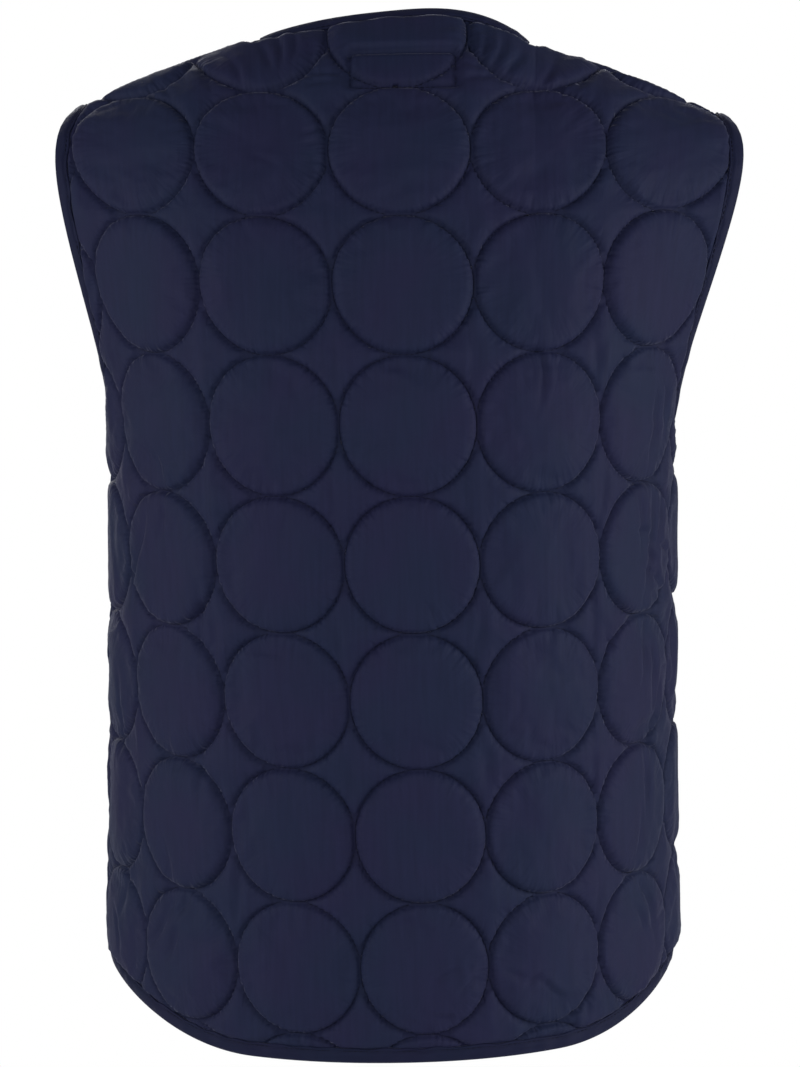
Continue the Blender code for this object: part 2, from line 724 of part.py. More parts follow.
def stud(name, panel, v, material):
    """A domed press-stud cap lying on the front that laps over."""
    spot = place(panel, np.array([0.0]), np.array([v]), np.array([EDGE_WALL + SEAM_GAP]))[0]
    above = place(panel, np.array([0.0]), np.array([v]), np.array([EDGE_WALL + 0.01]))[0]
    axis = (above - spot) / np.linalg.norm(above - spot)
    side = np.cross(axis, (0, 0, 1))
    side /= np.linalg.norm(side)
    up = np.cross(axis, side)
    count = STUD_SIDES
    angle = np.arange(count) / count * math.tau
    spokes = np.cos(angle)[:, None] * side + np.sin(angle)[:, None] * up
    rings = [spot + spokes * STUD_RADIUS * r + axis * STUD_HEIGHT * h for r, h in STUD_PROFILE]
    verts = np.concatenate(rings)
    faces = [tuple(range(count)), tuple(range(3 * count, 4 * count))]
    for ring in range(3):
        for k in range(count):
            after = (k + 1) % count
            low, high = ring * count, (ring + 1) * count
            faces.append((low + k, low + after, high + after, high + k))
    new_object(name, verts, faces, material)


def paint(name, colour, roughness, metallic=0.0):
    """A plain material."""
    material = bpy.data.materials.new(name)
    material.use_nodes = True
    shader = material.node_tree.nodes["Principled BSDF"]
    shader.inputs["Base Color"].default_value = (*colour, 1)
    shader.inputs["Roughness"].default_value = roughness
    shader.inputs["Metallic"].default_value = metallic
    return material


def build():
    for thing in list(bpy.data.objects):
        bpy.data.objects.remove(thing, do_unlink=True)
    shell = paint("navy_shell", (0.020, 0.023, 0.048), 0.55)
    band = paint("navy_binding", (0.015, 0.017, 0.036), 0.6)
    cap = paint("navy_stud", (0.012, 0.013, 0.024), 0.35, 0.6)
    back = Back()
    left = Front("front_left", 1, True)
    right = Front("front_right", -1, False)
    laid_back = panel_solid(back, back_edges(back), shell)
    laid_left = panel_solid(left, front_edges(left), shell)
    laid_right = panel_solid(right, front_edges(right), shell)
    binding("neck_binding", [edge_run(laid_back, ("neck",), (NECK_CLIP, NECK_CLIP))], False, band)
    binding("hem_binding_back", [edge_run(laid_back, ("hem",), (SEAM_GAP, SEAM_GAP))], False, band)
    for hand, laid, hole in (("left", laid_left, "armhole"), ("right", laid_right, "armhole_2")):
        down_edge = edge_run(laid, ("throat", "edge"), (NECK_CLIP, SEAM_GAP))
        binding("edge_binding_" + hand, [down_edge], False, band)
        up_back = edge_run(laid_back, (hole,), (0, 0), hand == "right")
        down_front = edge_run(laid, ("armhole",), (0, 0), True)
        binding("armhole_binding_" + hand, [up_back, down_front], True, band)
    for k, v in enumerate(stud_heights()):
        stud("stud_%d" % (k + 1), right, v, cap)


build()
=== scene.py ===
import math

import bpy
import numpy as np
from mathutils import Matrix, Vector


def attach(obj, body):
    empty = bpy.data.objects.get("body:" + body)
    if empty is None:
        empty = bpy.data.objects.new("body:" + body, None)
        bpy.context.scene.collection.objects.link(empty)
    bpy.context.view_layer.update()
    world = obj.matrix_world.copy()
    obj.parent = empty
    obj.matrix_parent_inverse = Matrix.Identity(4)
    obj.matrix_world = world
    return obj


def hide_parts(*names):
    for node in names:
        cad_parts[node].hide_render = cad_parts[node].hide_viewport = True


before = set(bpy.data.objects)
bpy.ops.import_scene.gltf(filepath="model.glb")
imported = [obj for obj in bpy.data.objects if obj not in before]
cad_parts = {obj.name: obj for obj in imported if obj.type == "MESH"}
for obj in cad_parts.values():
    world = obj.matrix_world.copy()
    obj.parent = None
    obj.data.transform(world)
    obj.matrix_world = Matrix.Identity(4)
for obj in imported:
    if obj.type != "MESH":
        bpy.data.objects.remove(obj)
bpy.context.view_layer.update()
scene = bpy.context.scene

# Worn form in metres, the same sizes as the solids: wearer's left at +X, back at +Y, shoulders at z 0
form = {
    "underarm": -0.228,
    "fall": 0.985,  # how much of the cloth's length goes into height
    "height": (-0.656, -0.446, -0.228),
    "halfWidth": (0.1880, 0.1826, 0.1774),
    "side": (-0.041, -0.034, 0.000),  # depth of the widest point
    "backFlat": (1.12, 1.05, 1.27),  # 1 is a round arc, 2 a flat panel that turns tightly at the side
    "frontFlat": (1.45, 1.45, 1.50),
    "ease": (0.917, 0.940, 0.963),  # cloth drawn in round the body
    "turn": (0.0020, 0.0109, 0.400),  # at the underarm, lower down, and over what drop
    "nape": (0.0394, 0.0435),  # y and z
    "throat": (-0.070, 0.004),
    "neckY": 0.0240,
    "neckSlant": -0.008,
    "shoulderBow": 0.002,
    "tipY": -0.0100,
    "rise": 0.66,  # how stiffly the cloth leaves the underarm level, and reaches the top edge
    "crest": 1.09,
    "leanNape": math.radians(53),  # of the cloth at its top edge, from upright
    "leanShoulder": math.radians(76),
    "leanThroat": math.radians(50),
}
# Neck point, shoulder tip and, on the flat cut, the back armhole on the left, 1, and the right, -1
shoulders = {
    1: {"neckX": 0.0840, "neckZ": 0.0270, "tipX": 0.2145, "tipZ": -0.0226, "armhole": 0.237},
    -1: {"neckX": 0.0865, "neckZ": 0.0246, "tipX": 0.2290, "tipZ": -0.0285, "armhole": 0.231},
}
# Flat cut, a across and v up from the underarm
cut = {
    "sideHigh": 0.272,
    "sideLow": 0.295,
    "hemMiddle": -0.3815,
    "hemRise": 0.032,
    "hemLevel": 0.108,
    "hemTilt": 0.003,
    "frontHemRise": 0.029,
    "neck": 0.088,
    "tip": 0.230,
    "seamEnd": 0.217,  # where the shoulder seam ends and the armhole turns in
    "seamGap": 0.0003,
    "frontArmhole": 0.196,
    "scoop": 0.075,
    "backTurn": 6,  # how late the armholes turn in
    "frontTurn": 3,
    "overlap": 0.018,
    "underPush": 0.0078,  # how far in the under front goes, over what width, and where its padding ends
    "lapPushed": (0.024, 0.080),
    "lapThinned": (0.020, 0.045),
    "frontTop": 0.036,
    "cornerRadius": 0.030,
    "neckRadius": 0.050,
    "wall": 0.0028,
}
# Quilting circles, their padding, and the sheet that is swelled before the panels are cut from it
quilt = {
    "pitch": 0.086,
    "radius": 0.0430,
    "crown": 0.0056,
    "between": 0.0044,
    "cells": 22,  # simulated cells in a pitch, doubled in the panels
    "insideCells": 12,
    "columns": (-83, 83),  # reach of the sheet in cells
    "rows": (-97, 86),
    "frames": 22,
    "spare": 0.030,  # how much larger the cloth is than its pattern
    "pressure": 2.6,
    "seed": 11,
    "unevenness": (0.60, 0.30),  # share of the simulated one in the circles, and between them
    "steep": 0.54,  # share of the height that is gained right beside the stitches
    "groove": 0.0006,
    "pinch": 0.0003,  # cloth held down beside a stitch line
    "pull": 0.0016,  # how deep the stitches draw the cloth in
    "teeth": 0.0003,  # height of the small puckers beside a stitch line
    "teethReach": 0.0030,
    "fromBinding": (0.0072, 0.0110),  # where the padding rises beside a binding, and beside a seam
    "fromSeam": (0.0, 0.007),
}
panels = {
    "back": {"node": "back_panel", "hand": 0, "row": -0.0640, "tilt": 0.0110, "shift": -0.0096, "sheet": 0},
    "left": {"node": "front_left", "hand": 1, "row": -0.0580, "tilt": 0.0, "shift": 0.043, "sheet": 0},
    "right": {"node": "front_right", "hand": -1, "row": -0.0580, "tilt": 0.0, "shift": 0.043, "sheet": -2},
}
# the back's pattern spreads towards the left shoulder
fan = {"rise": (-0.020, 0.170), "shift": 0.0035, "spread": 0.040}
neckPatch = {"a": -0.0065, "above": 0.0005, "width": 0.067, "height": 0.027, "pressed": 0.45}
studs = {
    "heights": np.linspace(0.006, -0.340, 5),
    "radius": 0.0062,
    "height": 0.0022,
    "pressed": (0.0080, 0.0150),  # cloth held flat round each
}


# 0 below low, 1 above high, a soft S between
def smoothStep(low, high, value):
    t = np.clip((value - low) / (high - low), 0, 1)
    return t * t * (3 - 2 * t)


# a row of the form on a cubic through its three heights, level at the underarm
def section(name, height):
    heights, values = np.array(form["height"]), np.array(form[name])
    slopes = np.gradient(values, heights)
    slopes[-1] = 0
    at = np.clip(height, heights[0], heights[-1])
    low = np.clip(np.searchsorted(heights, at, side="right") - 1, 0, len(heights) - 2)
    gap = heights[low + 1] - heights[low]
    t = (at - heights[low]) / gap
    start = (1 + 2 * t) * (1 - t) ** 2 * values[low] + t * (1 - t) ** 2 * gap * slopes[low]
    return start + t * t * (3 - 2 * t) * values[low + 1] + t * t * (t - 1) * gap * slopes[low + 1]


arcNodes, arcWeights = np.polynomial.legendre.leggauss(16)


# a unit arc that sets out along x and turns to y, its angle growing as share to the power of flatness
def turnedArc(share, flatness):
    steps = share[..., None] * (arcNodes + 1) / 2
    angle = math.pi / 2 * steps ** flatness[..., None]
    x, y = (np.cos(angle) * arcWeights).sum(-1), (np.sin(angle) * arcWeights).sum(-1)
    return x * share / 2, y * share / 2


# lengths of a back and a front quarter of the section, and their depths
def quarters(height):
    whole = np.ones_like(height)
    backX, backY = turnedArc(whole, section("backFlat", height))
    frontX, frontY = turnedArc(whole, section("frontFlat", height))
    width = section("halfWidth", height)
    return width / backX, width / frontX, width / backX * backY, width / frontX * frontY


# length of half the section, a back and a front quarter
def halfRound(height):
    back, front, _, _ = quarters(height)
    return back + front


# point of the section at a height, at a length along it from the middle of the back
def formPoint(height, along):
    side = np.where(along < 0, -1.0, 1.0)
    length = np.abs(along)
    back, front, backDepth, frontDepth = quarters(height)
    backX, backY = turnedArc(np.clip(length / back, 0, 1), section("backFlat", height))
    toFront = back + front - length
    frontX, frontY = turnedArc(np.clip(np.abs(toFront) / front, 0, 1), section("frontFlat", height))
    onBack = length <= back
    depth = section("side", height)
    x = np.where(onBack, back * backX, np.sign(toFront) * front * frontX) * side
    y = np.where(onBack, depth + backDepth - back * backY, depth - frontDepth + front * frontY)
    return np.stack([x, y, height], -1)


# how far the vest is turned round the body, growing evenly down to the end of the run
def turned(height):
    high, low, run = form["turn"]
    return high + (low - high) * np.clip((form["underarm"] - height) / run, 0, 1.2)


# height of the cloth at v: its length below the underarm times the fall
def level(v):
    return form["underarm"] + np.minimum(v, 0) * form["fall"]


# across measure of the back's side seam, straight from the underarm to the hem
def sideSeam(v):
    return cut["sideHigh"] + (cut["sideLow"] - cut["sideHigh"]) * np.clip(v / cut["hemMiddle"], 0, 1.2)


# that of a front: what the back leaves of half the section
def frontSideSeam(v):
    return halfRound(level(v)) - sideSeam(v) * section("ease", level(v))


# lower end of a side seam: the middle of the hem, its rise, and the tilt of the two sides
def sideLow(hand):
    return cut["hemMiddle"] + cut["hemRise"] - cut["hemTilt"] * hand


# a measure of the shoulder on each point's own side
def onSide(name, side):
    return np.where(side > 0, shoulders[1][name], shoulders[-1][name])


# straight from the neck point, 0, to the tip, 1, with a small bow
def shoulderLine(share, side):
    on = np.clip(share, 0, 1)
    neckZ, tipZ = onSide("neckZ", side), onSide("tipZ", side)
    x = (onSide("neckX", side) + (onSide("tipX", side) - onSide("neckX", side)) * share) * side
    y = form["neckY"] + (form["tipY"] - form["neckY"]) * share
    return np.stack([x, y, neckZ + (tipZ - neckZ) * share + form["shoulderBow"] * 4 * on * (1 - on)], -1)


# from the middle of the neck, 0, to the neck point, 1, falling as the share to the power 2.8
def neckLine(share, side, middle):
    end = shoulderLine(np.zeros_like(share), side)
    y = middle[0] + (end[..., 1] - middle[0]) * share**2
    z = middle[1] + (end[..., 2] - middle[1]) * np.abs(share) ** 2.8
    return np.stack([end[..., 0] * share, y, z + form["neckSlant"] * side * share * (1 - share**2)], -1)


# cubic that leaves base upright and reaches top at a lean, read at the length up, and its whole length
def bendUp(base, top, lean, up, steps=24):
    chord = np.linalg.norm(top - base, axis=-1)
    zero = np.zeros_like(chord)
    rise = np.stack([zero, zero, chord * form["rise"]], -1)
    crest = np.stack([zero, np.sin(lean) * chord, np.cos(lean) * chord], -1) * form["crest"]
    t = np.linspace(0, 1, steps + 1)[:, None]
    curve = (1 + 2 * t) * (1 - t) ** 2 * base[:, None] + t * (1 - t) ** 2 * rise[:, None]
    curve = curve + t * t * (3 - 2 * t) * top[:, None] + t * t * (t - 1) * crest[:, None]
    lengths = np.linalg.norm(np.diff(curve, axis=1), axis=-1)
    reached = np.concatenate([zero[:, None], np.cumsum(lengths, 1)], 1)
    low = np.clip((reached <= up[:, None]).sum(1) - 1, 0, steps - 1)
    pick = np.arange(len(low))
    share = (up - reached[pick, low]) / lengths[pick, low]
    return curve[pick, low] + (curve[pick, low + 1] - curve[pick, low]) * share[:, None], reached[:, -1]


# a flat point of a panel laid on the form: round the section below the underarm, up the bend above it
def bend(panel, a, v):
    height = level(v)
    hand = panel["hand"]
    if hand == 0:
        low = formPoint(height, a * section("ease", height) - turned(height))
        side, across = np.where(a < 0, -1.0, 1.0), np.abs(a)
        neck = neckLine(np.clip(across / cut["neck"], 0, 1), side, form["nape"])
        outer = smoothStep(0.6 * cut["neck"], 1.6 * cut["neck"], across)
        lean = -(form["leanNape"] + (form["leanShoulder"] - form["leanNape"]) * outer)
    else:
        low = formPoint(height, hand * (halfRound(height) - a) - turned(height))
        side, across = np.full_like(a, hand), a
        neck = neckLine(np.maximum(across / cut["neck"], -0.5), side, form["throat"])
        outer = smoothStep(0.2 * cut["neck"], 1.3 * cut["neck"], across)
        lean = form["leanThroat"] + (form["leanShoulder"] - form["leanThroat"]) * outer
    shoulder = shoulderLine((across - cut["neck"]) / (cut["tip"] - cut["neck"]), side)
    top = np.where((across < cut["neck"])[:, None], neck, shoulder)
    high, length = bendUp(low, top, lean, np.maximum(v, 0))
    return np.where((v > 0)[:, None], high, low), length


# the under front goes in below the one that laps over it
def push(panel, a):
    if panel["hand"] != 1:
        return np.zeros_like(a)
    return cut["underPush"] * (1 - smoothStep(*cut["lapPushed"], a))


# unit normals from two fields of tangents, turned away from the body's middle line
def outward(here, along, up):
    normal = np.cross(up, along)
    normal /= np.linalg.norm(normal, axis=-1)[..., None]
    away = here.copy()
    away[..., 2] = np.maximum(here[..., 2] + 0.12, 0)
    return normal * np.sign((normal * away).sum(-1))[..., None]


# points at a flat place, with the tangents across and up and the normal there
def frames(panel, a, v, step=0.0004):
    here, _ = bend(panel, a, v)
    along = (bend(panel, a + step, v)[0] - bend(panel, a - step, v)[0]) / (2 * step)
    up = (bend(panel, a, v + step)[0] - bend(panel, a, v - step)[0]) / (2 * step)
    normal = outward(here, along, up)
    return here - normal * push(panel, a)[:, None], along, up, normal


# armhole of the flat cut: a quarter of an ellipse at the underarm, then up and in to the shoulder seam
def armholeCurve(inner, low, top, turn):
    v = (1 - np.cos(np.linspace(0, math.pi, 120))) / 2 * top
    down = np.clip(1 - v / cut["scoop"], 0, 1)
    curve = inner + (low - inner) * (1 - np.sqrt(1 - down**2))
    return np.stack([curve + (cut["seamEnd"] - inner) * (v / top) ** turn, v], 1)


# v of the top edge: the length of the bend at a place across
def topOf(panel, a):
    return bend(panel, np.atleast_1d(a), np.full(np.size(a), 0.01))[1]


# conic through the two ends of a corner, tangent to its sides
def roundedCorner(before, corner, after, radius):
    first = (before - corner) / np.linalg.norm(before - corner)
    last = (after - corner) / np.linalg.norm(after - corner)
    half = math.acos(float(np.clip(first @ last, -1, 1))) / 2
    back = radius / math.tan(half)
    t = np.linspace(0, 1, 17)[:, None]
    weight = math.sin(half)
    start, end = corner + first * back, corner + last * back
    top = (1 - t) ** 2 * start + 2 * t * (1 - t) * weight * corner + t * t * end
    return top / ((1 - t) ** 2 + 2 * t * (1 - t) * weight + t * t)


# a curve set out again in even steps of its length, with both ends kept
def spaced(curve, step):
    reached = np.concatenate([[0], np.cumsum(np.linalg.norm(np.diff(curve, axis=0), axis=1))])
    at = np.linspace(0, reached[-1], max(2, round(reached[-1] / step)) + 1)
    return np.stack([np.interp(at, reached, curve[:, k]) for k in (0, 1)], 1)


# edges of the back in order, counter-clockwise from the right end of the hem
def backEdges(panel):
    side = np.linspace(-1, 1, 241)
    half = cut["sideLow"] - 0.0012
    rise = cut["hemRise"] * smoothStep(cut["hemLevel"], half, np.abs(side) * half) - cut["hemTilt"] * side
    hem = np.stack([side * half, cut["hemMiddle"] + rise], 1)
    hem[[0, -1], 0] = sideSeam(hem[[0, -1], 1]) * (-1, 1)
    edges = {"hem": hem}
    for hand, word in ((1, "Left"), (-1, "Right")):
        seamV = np.linspace(sideLow(hand), 0, 60)
        inner = shoulders[hand]["armhole"]
        top = topOf(panel, hand * cut["seamEnd"])[0]
        across = hand * np.linspace(cut["seamEnd"], cut["neck"], 40)
        run = {
            "side" + word: np.stack([hand * sideSeam(seamV), seamV], 1),
            "armhole" + word: armholeCurve(inner, cut["sideHigh"], top, cut["backTurn"]) * (hand, 1),
            "shoulder" + word: np.stack([across, topOf(panel, across)], 1),
        }
        if hand > 0:
            neckA = np.linspace(cut["neck"], -cut["neck"], 81)
            edges.update(run)
            edges["neck"] = np.stack([neckA, topOf(panel, neckA)], 1)
        else:
            edges.update({name: run[name][::-1] for name in reversed(list(run))})
    return edges


# edges of a front in order, counter-clockwise from the lower end of the side seam
def frontEdges(panel):
    low = sideLow(panel["hand"])
    seamV = np.linspace(low, 0, 60)
    seam = np.stack([frontSideSeam(seamV), seamV], 1)
    hemA = np.linspace(-cut["overlap"], seam[0, 0], 60)
    drop = cut["frontHemRise"] * (1 - smoothStep(cut["hemLevel"], seam[0, 0], hemA))
    hem = np.stack([hemA, low - drop], 1)
    top = topOf(panel, cut["seamEnd"])[0]
    across = np.linspace(cut["seamEnd"], cut["neck"], 40)
    shoulder = np.stack([across, topOf(panel, across)], 1)
    turnPoint = np.array([-cut["overlap"], cut["frontTop"]])
    neckTurn = roundedCorner(shoulder[-1], turnPoint, hem[0], cut["neckRadius"])
    hemTurn = roundedCorner(turnPoint, hem[0], hem[8], cut["cornerRadius"])
    after = hem[hem[:, 0] > hemTurn[-1, 0] + 0.004]
    return {
        "side": seam,
        "armhole": armholeCurve(cut["frontArmhole"], seam[-1, 0], top, cut["frontTurn"]),
        "shoulder": shoulder,
        "edge": np.concatenate([[shoulder[-1]], neckTurn, hemTurn, after]),
    }


for panel in panels.values():
    panel["edges"] = backEdges(panel) if panel["hand"] == 0 else frontEdges(panel)
    panel["outline"] = np.concatenate([spaced(curve, 0.004)[:-1] for curve in panel["edges"].values()])
print("flat cut laid out")


# how far the back's pattern moves out towards the left shoulder
def fanned(panel, a, v):
    if panel["hand"] != 0:
        return 0.0
    rise = smoothStep(*fan["rise"], v)
    return rise * (fan["shift"] * smoothStep(-quilt["pitch"], 0, a) + fan["spread"] * np.maximum(a, 0))


# lattice of the quilting: p across and q down, one for each circle
def toFlat(panel, p, q):
    c, s = math.cos(panel["tilt"]), math.sin(panel["tilt"])
    a = quilt["pitch"] * (p * c - q * s) + panel["shift"]
    v = panel["row"] - quilt["pitch"] * (q * c + p * s)
    return a + fanned(panel, a, v), v


# the way back: the fan is taken off in a few rounds, then the tilt
def toLattice(panel, a, v):
    c, s = math.cos(panel["tilt"]), math.sin(panel["tilt"])
    plain = a
    for _ in range(4):
        plain = a - fanned(panel, plain, v)
    across, down = (plain - panel["shift"]) / quilt["pitch"], (panel["row"] - v) / quilt["pitch"]
    return across * c + down * s, down * c - across * s


# a steep side beside each stitch line, then a low dome over the circle or a swelling between circles
def pillow(reach):
    inside = np.clip(reach / quilt["radius"], 0, 1)
    corner = quilt["pitch"] * math.sqrt(0.5) - quilt["radius"]
    outside = np.clip((reach - quilt["radius"]) / corner, 0, 1)
    steep = quilt["steep"] * (1 - np.exp(-np.abs(reach - quilt["radius"]) / quilt["groove"]))
    dome = np.where(inside < 1, (1 - inside**2) ** 0.6, np.sin(outside * math.pi / 2) ** 0.7)
    crown = np.where(inside < 1, quilt["crown"], quilt["between"])
    return crown * (steep + (1 - quilt["steep"]) * dome)


# an object from points and faces, with the flat and the sewn UV map where it has them
def meshObject(name, points, faces, uv=None, sewn=None, smooth=True):
    mesh = bpy.data.meshes.new(name)
    mesh.from_pydata(points.reshape(-1, 3).tolist(), [], faces if type(faces) is list else faces.tolist())
    if uv is not None:
        layer = mesh.uv_layers.new(name="flat")
        corners = np.empty(len(mesh.loops), np.int32)
        mesh.loops.foreach_get("vertex_index", corners)
        layer.data.foreach_set("uv", uv.reshape(-1, 2)[corners].astype(np.float32).ravel())
    if sewn is not None:
        layer = mesh.uv_layers.new(name="sewn")
        layer.data.foreach_set("uv", sewn.astype(np.float32).ravel())
    mesh.polygons.foreach_set("use_smooth", np.full(len(mesh.polygons), smooth))
    mesh.update()
    thing = bpy.data.objects.new(name, mesh)
    scene.collection.objects.link(thing)
    return thing


# four-sided faces of a grid, numbered row by row
def gridFaces(rows, columns):
    at = np.arange(rows * columns).reshape(rows, columns)
    return np.stack([at[:-1, :-1], at[:-1, 1:], at[1:, 1:], at[1:, :-1]], -1).reshape(-1, 4)


# four-sided faces between closed rings of points, one row of numbers for each ring
def ringFaces(at):
    return np.stack([at[:-1], np.roll(at[:-1], -1, 1), np.roll(at[1:], -1, 1), at[1:]], -1).reshape(-1, 4)


# lattice places of the sheet's cells, the way to each from its circle's centre, and how far that is
def sheetLattice():
    (left, right), (top, bottom) = quilt["columns"], quilt["rows"]
    p, q = np.meshgrid(np.arange(left, right + 1), np.arange(top, bottom + 1))
    lattice = np.stack([p, q], -1) / quilt["cells"]
    fromCentre = (lattice - np.round(lattice)) * quilt["pitch"]
    return lattice, fromCentre, np.linalg.norm(fromCentre, axis=-1)


# a flat sheet a little larger than its pattern, sewn down along the circles and swelled by pressure
def quiltedSheet():
    lattice, fromCentre, reach = sheetLattice()
    step = quilt["pitch"] / quilt["cells"]
    sewn = np.abs(reach - quilt["radius"]) < step / 2
    toStitch = np.where(sewn, quilt["radius"] - reach, 0) / np.maximum(reach, 1e-9)
    snap = fromCentre * toStitch[..., None]
    random = np.random.default_rng(quilt["seed"])
    start = np.where(sewn, 0, 0.35 * pillow(reach) + 0.0006 * random.random(reach.shape))
    rest = np.concatenate([lattice * quilt["pitch"] + snap, start[..., None]], -1)
    rest[..., 1] *= -1
    sheet = meshObject("quilted_sheet", rest, gridFaces(*reach.shape)[:, ::-1])
    sewn[[0, -1]] = True
    sewn[:, [0, -1]] = True
    group = sheet.vertex_groups.new(name="sewn")
    group.add(np.flatnonzero(sewn).tolist(), 1.0, "REPLACE")
    cloth = sheet.modifiers.new("Cloth", "CLOTH")
    settings = cloth.settings
    settings.vertex_group_mass = "sewn"
    settings.quality = 4
    settings.mass = 0.15
    settings.tension_stiffness = settings.compression_stiffness = 18
    settings.shear_stiffness = 6
    settings.bending_stiffness = 0.5
    settings.air_damping = 4
    settings.shrink_min = -quilt["spare"]
    settings.use_pressure = True
    settings.uniform_pressure_force = quilt["pressure"]
    settings.effector_weights.gravity = 0
    cloth.collision_settings.use_collision = False
    cloth.point_cache.frame_end = quilt["frames"]
    for number in range(1, quilt["frames"] + 1):
        scene.frame_set(number)
    result = sheet.evaluated_get(bpy.context.evaluated_depsgraph_get()).to_mesh()
    moved = np.empty(len(result.vertices) * 3, np.float32)
    result.vertices.foreach_get("co", moved)
    moved = moved.reshape(rest.shape).astype(float)
    bpy.data.objects.remove(sheet)
    scene.frame_set(1)
    shift = (moved - rest)[..., :2] / quilt["pitch"] * (1, -1)
    return np.concatenate([np.clip(shift, -0.03, 0.03), np.maximum(moved[..., 2:], -0.001)], -1)


# the sheet's shift across, shift down and height at a lattice place, by cubic weights on four by four cells
def readSheet(sheet, p, q):
    def weights(t):
        before, here = -t + 2 * t**2 - t**3, 2 - 5 * t**2 + 3 * t**3
        return np.stack([before, here, t + 4 * t**2 - 3 * t**3, t**3 - t**2]) / 2

    x = np.clip(p * quilt["cells"] - quilt["columns"][0], 1, sheet.shape[1] - 2.001)
    y = np.clip(q * quilt["cells"] - quilt["rows"][0], 1, sheet.shape[0] - 2.001)
    column, row = x.astype(int), y.astype(int)
    across, down = weights(x - column), weights(y - row)
    columns = np.clip(column + np.arange(-1, 3)[:, None], 0, sheet.shape[1] - 1)
    rows = np.clip(row + np.arange(-1, 3)[:, None], 0, sheet.shape[0] - 1)
    picked = sheet[rows[:, None], columns[None]]
    return (picked * (down[:, None] * across[None])[..., None]).sum((0, 1))


# height of the simulated cloth at each cell against the mean as far from a centre, smoothed a little
def unevenness(sheet):
    _, _, reach = sheetLattice()
    ring = np.round(reach / 0.0015).astype(int)
    mean = np.bincount(ring.ravel(), sheet[..., 2].ravel()) / np.maximum(np.bincount(ring.ravel()), 1)
    uneven = np.clip(sheet[..., 2] / np.maximum(mean[ring], 0.0006), 0.4, 1.6)
    beside = np.pad(uneven, 1, mode="edge")
    softer = (beside[:-2, 1:-1] + beside[2:, 1:-1] + beside[1:-1, :-2] + beside[1:-1, 2:] + 2 * uneven) / 6
    return np.where(reach < quilt["radius"], 0.5 * (uneven + softer), softer)


# distance to the nearest of some segments, and the nearest point
def toSegments(points, starts, ends):
    along = ends - starts
    t = np.clip(((points[:, None] - starts) * along).sum(2) / (along**2).sum(1), 0, 1)
    nearest = starts + t[..., None] * along
    apart = np.linalg.norm(points[:, None] - nearest, axis=2)
    best = apart.argmin(1)
    pick = np.arange(len(points))
    return apart[pick, best], nearest[pick, best]


# the same for whole curves, in parts to spare memory
def toCurves(points, curves, step=0.006):
    lines = [spaced(curve, step) for curve in curves]
    starts, ends = np.concatenate([c[:-1] for c in lines]), np.concatenate([c[1:] for c in lines])
    parts = np.array_split(points, max(1, len(points) // 6000))
    found = [toSegments(part, starts, ends) for part in parts]
    return np.concatenate([d for d, _ in found]), np.concatenate([n for _, n in found])


# lattice places moved towards the nearest stitch line, and onto it within half a cell
def drawnToStitches(p, q, cell):
    centre = np.round([p, q])
    aside = ([p, q] - centre) * quilt["pitch"]
    reach = np.hypot(*aside)
    past = reach - quilt["radius"]
    drawn = np.where(np.abs(past) < cell / 2, 0, past * (1 - 0.5 * np.exp(-((past / 0.0045) ** 2))))
    aside = aside * (quilt["radius"] + drawn) / np.maximum(reach, 1e-9)
    p, q = centre + np.where(reach > 0.01, aside, ([p, q] - centre) * quilt["pitch"]) / quilt["pitch"]
    return p, q, centre, aside, np.abs(drawn)


# puckers beside the stitches of each circle: waves round it that come and go and die away from the line
def puckers(centre, angle, away, random):
    column, row = (centre - centre.min(1)[:, None]).astype(int)
    phase = random.uniform(0, math.tau, (row.max() + 1, column.max() + 1, 5))[row, column].T
    fine = np.sin(44 * angle + phase[0]) + np.sin(57 * angle + phase[1])
    fine += 0.7 * np.sin(69 * angle + phase[2])
    come = 0.5 + 0.5 * np.sin(5 * angle + phase[3])
    slow = np.sin(3 * angle + phase[4]) * np.cos(7 * angle + phase[3])
    return fine * come * np.exp(-away / quilt["teethReach"]) * quilt["teeth"], slow


# which cells of a lattice grid have their middle inside a loop, by counting crossings in each row
def cellsInside(p, q, loop):
    x0, y0 = loop[:, 0], loop[:, 1]
    x1, y1 = np.roll(x0, -1), np.roll(y0, -1)
    crosses = (y0 > q[:, None]) != (y1 > q[:, None])
    at = np.where(crosses, x0 + (q[:, None] - y0) / np.where(y1 == y0, 1, y1 - y0) * (x1 - x0), -np.inf)
    return (at[:, :, None] > p[None, None, :]).sum(1) % 2 == 1


# which points lie inside a loop, by counting the sides crossed on the way out
def insideLoop(points, loop):
    x0, y0 = loop[:, 0], loop[:, 1]
    x1, y1 = np.roll(x0, -1), np.roll(y0, -1)
    x, y = points[:, :1], points[:, 1:]
    crosses = (y0 > y) != (y1 > y)
    at = x0 + (y - y0) / np.where(y1 == y0, 1, y1 - y0) * (x1 - x0)
    return (crosses & (at > x)).sum(1) % 2 == 1


# corners of the stitched rectangle at the back neck, closed
def patchCorners():
    low = panels["back"]["row"] + 3.5 * quilt["pitch"] + neckPatch["above"]
    top = low + neckPatch["height"]
    left, right = neckPatch["a"] - neckPatch["width"] / 2, neckPatch["a"] + neckPatch["width"] / 2
    return np.array([(left, low), (right, low), (right, top), (left, top), (left, low)])


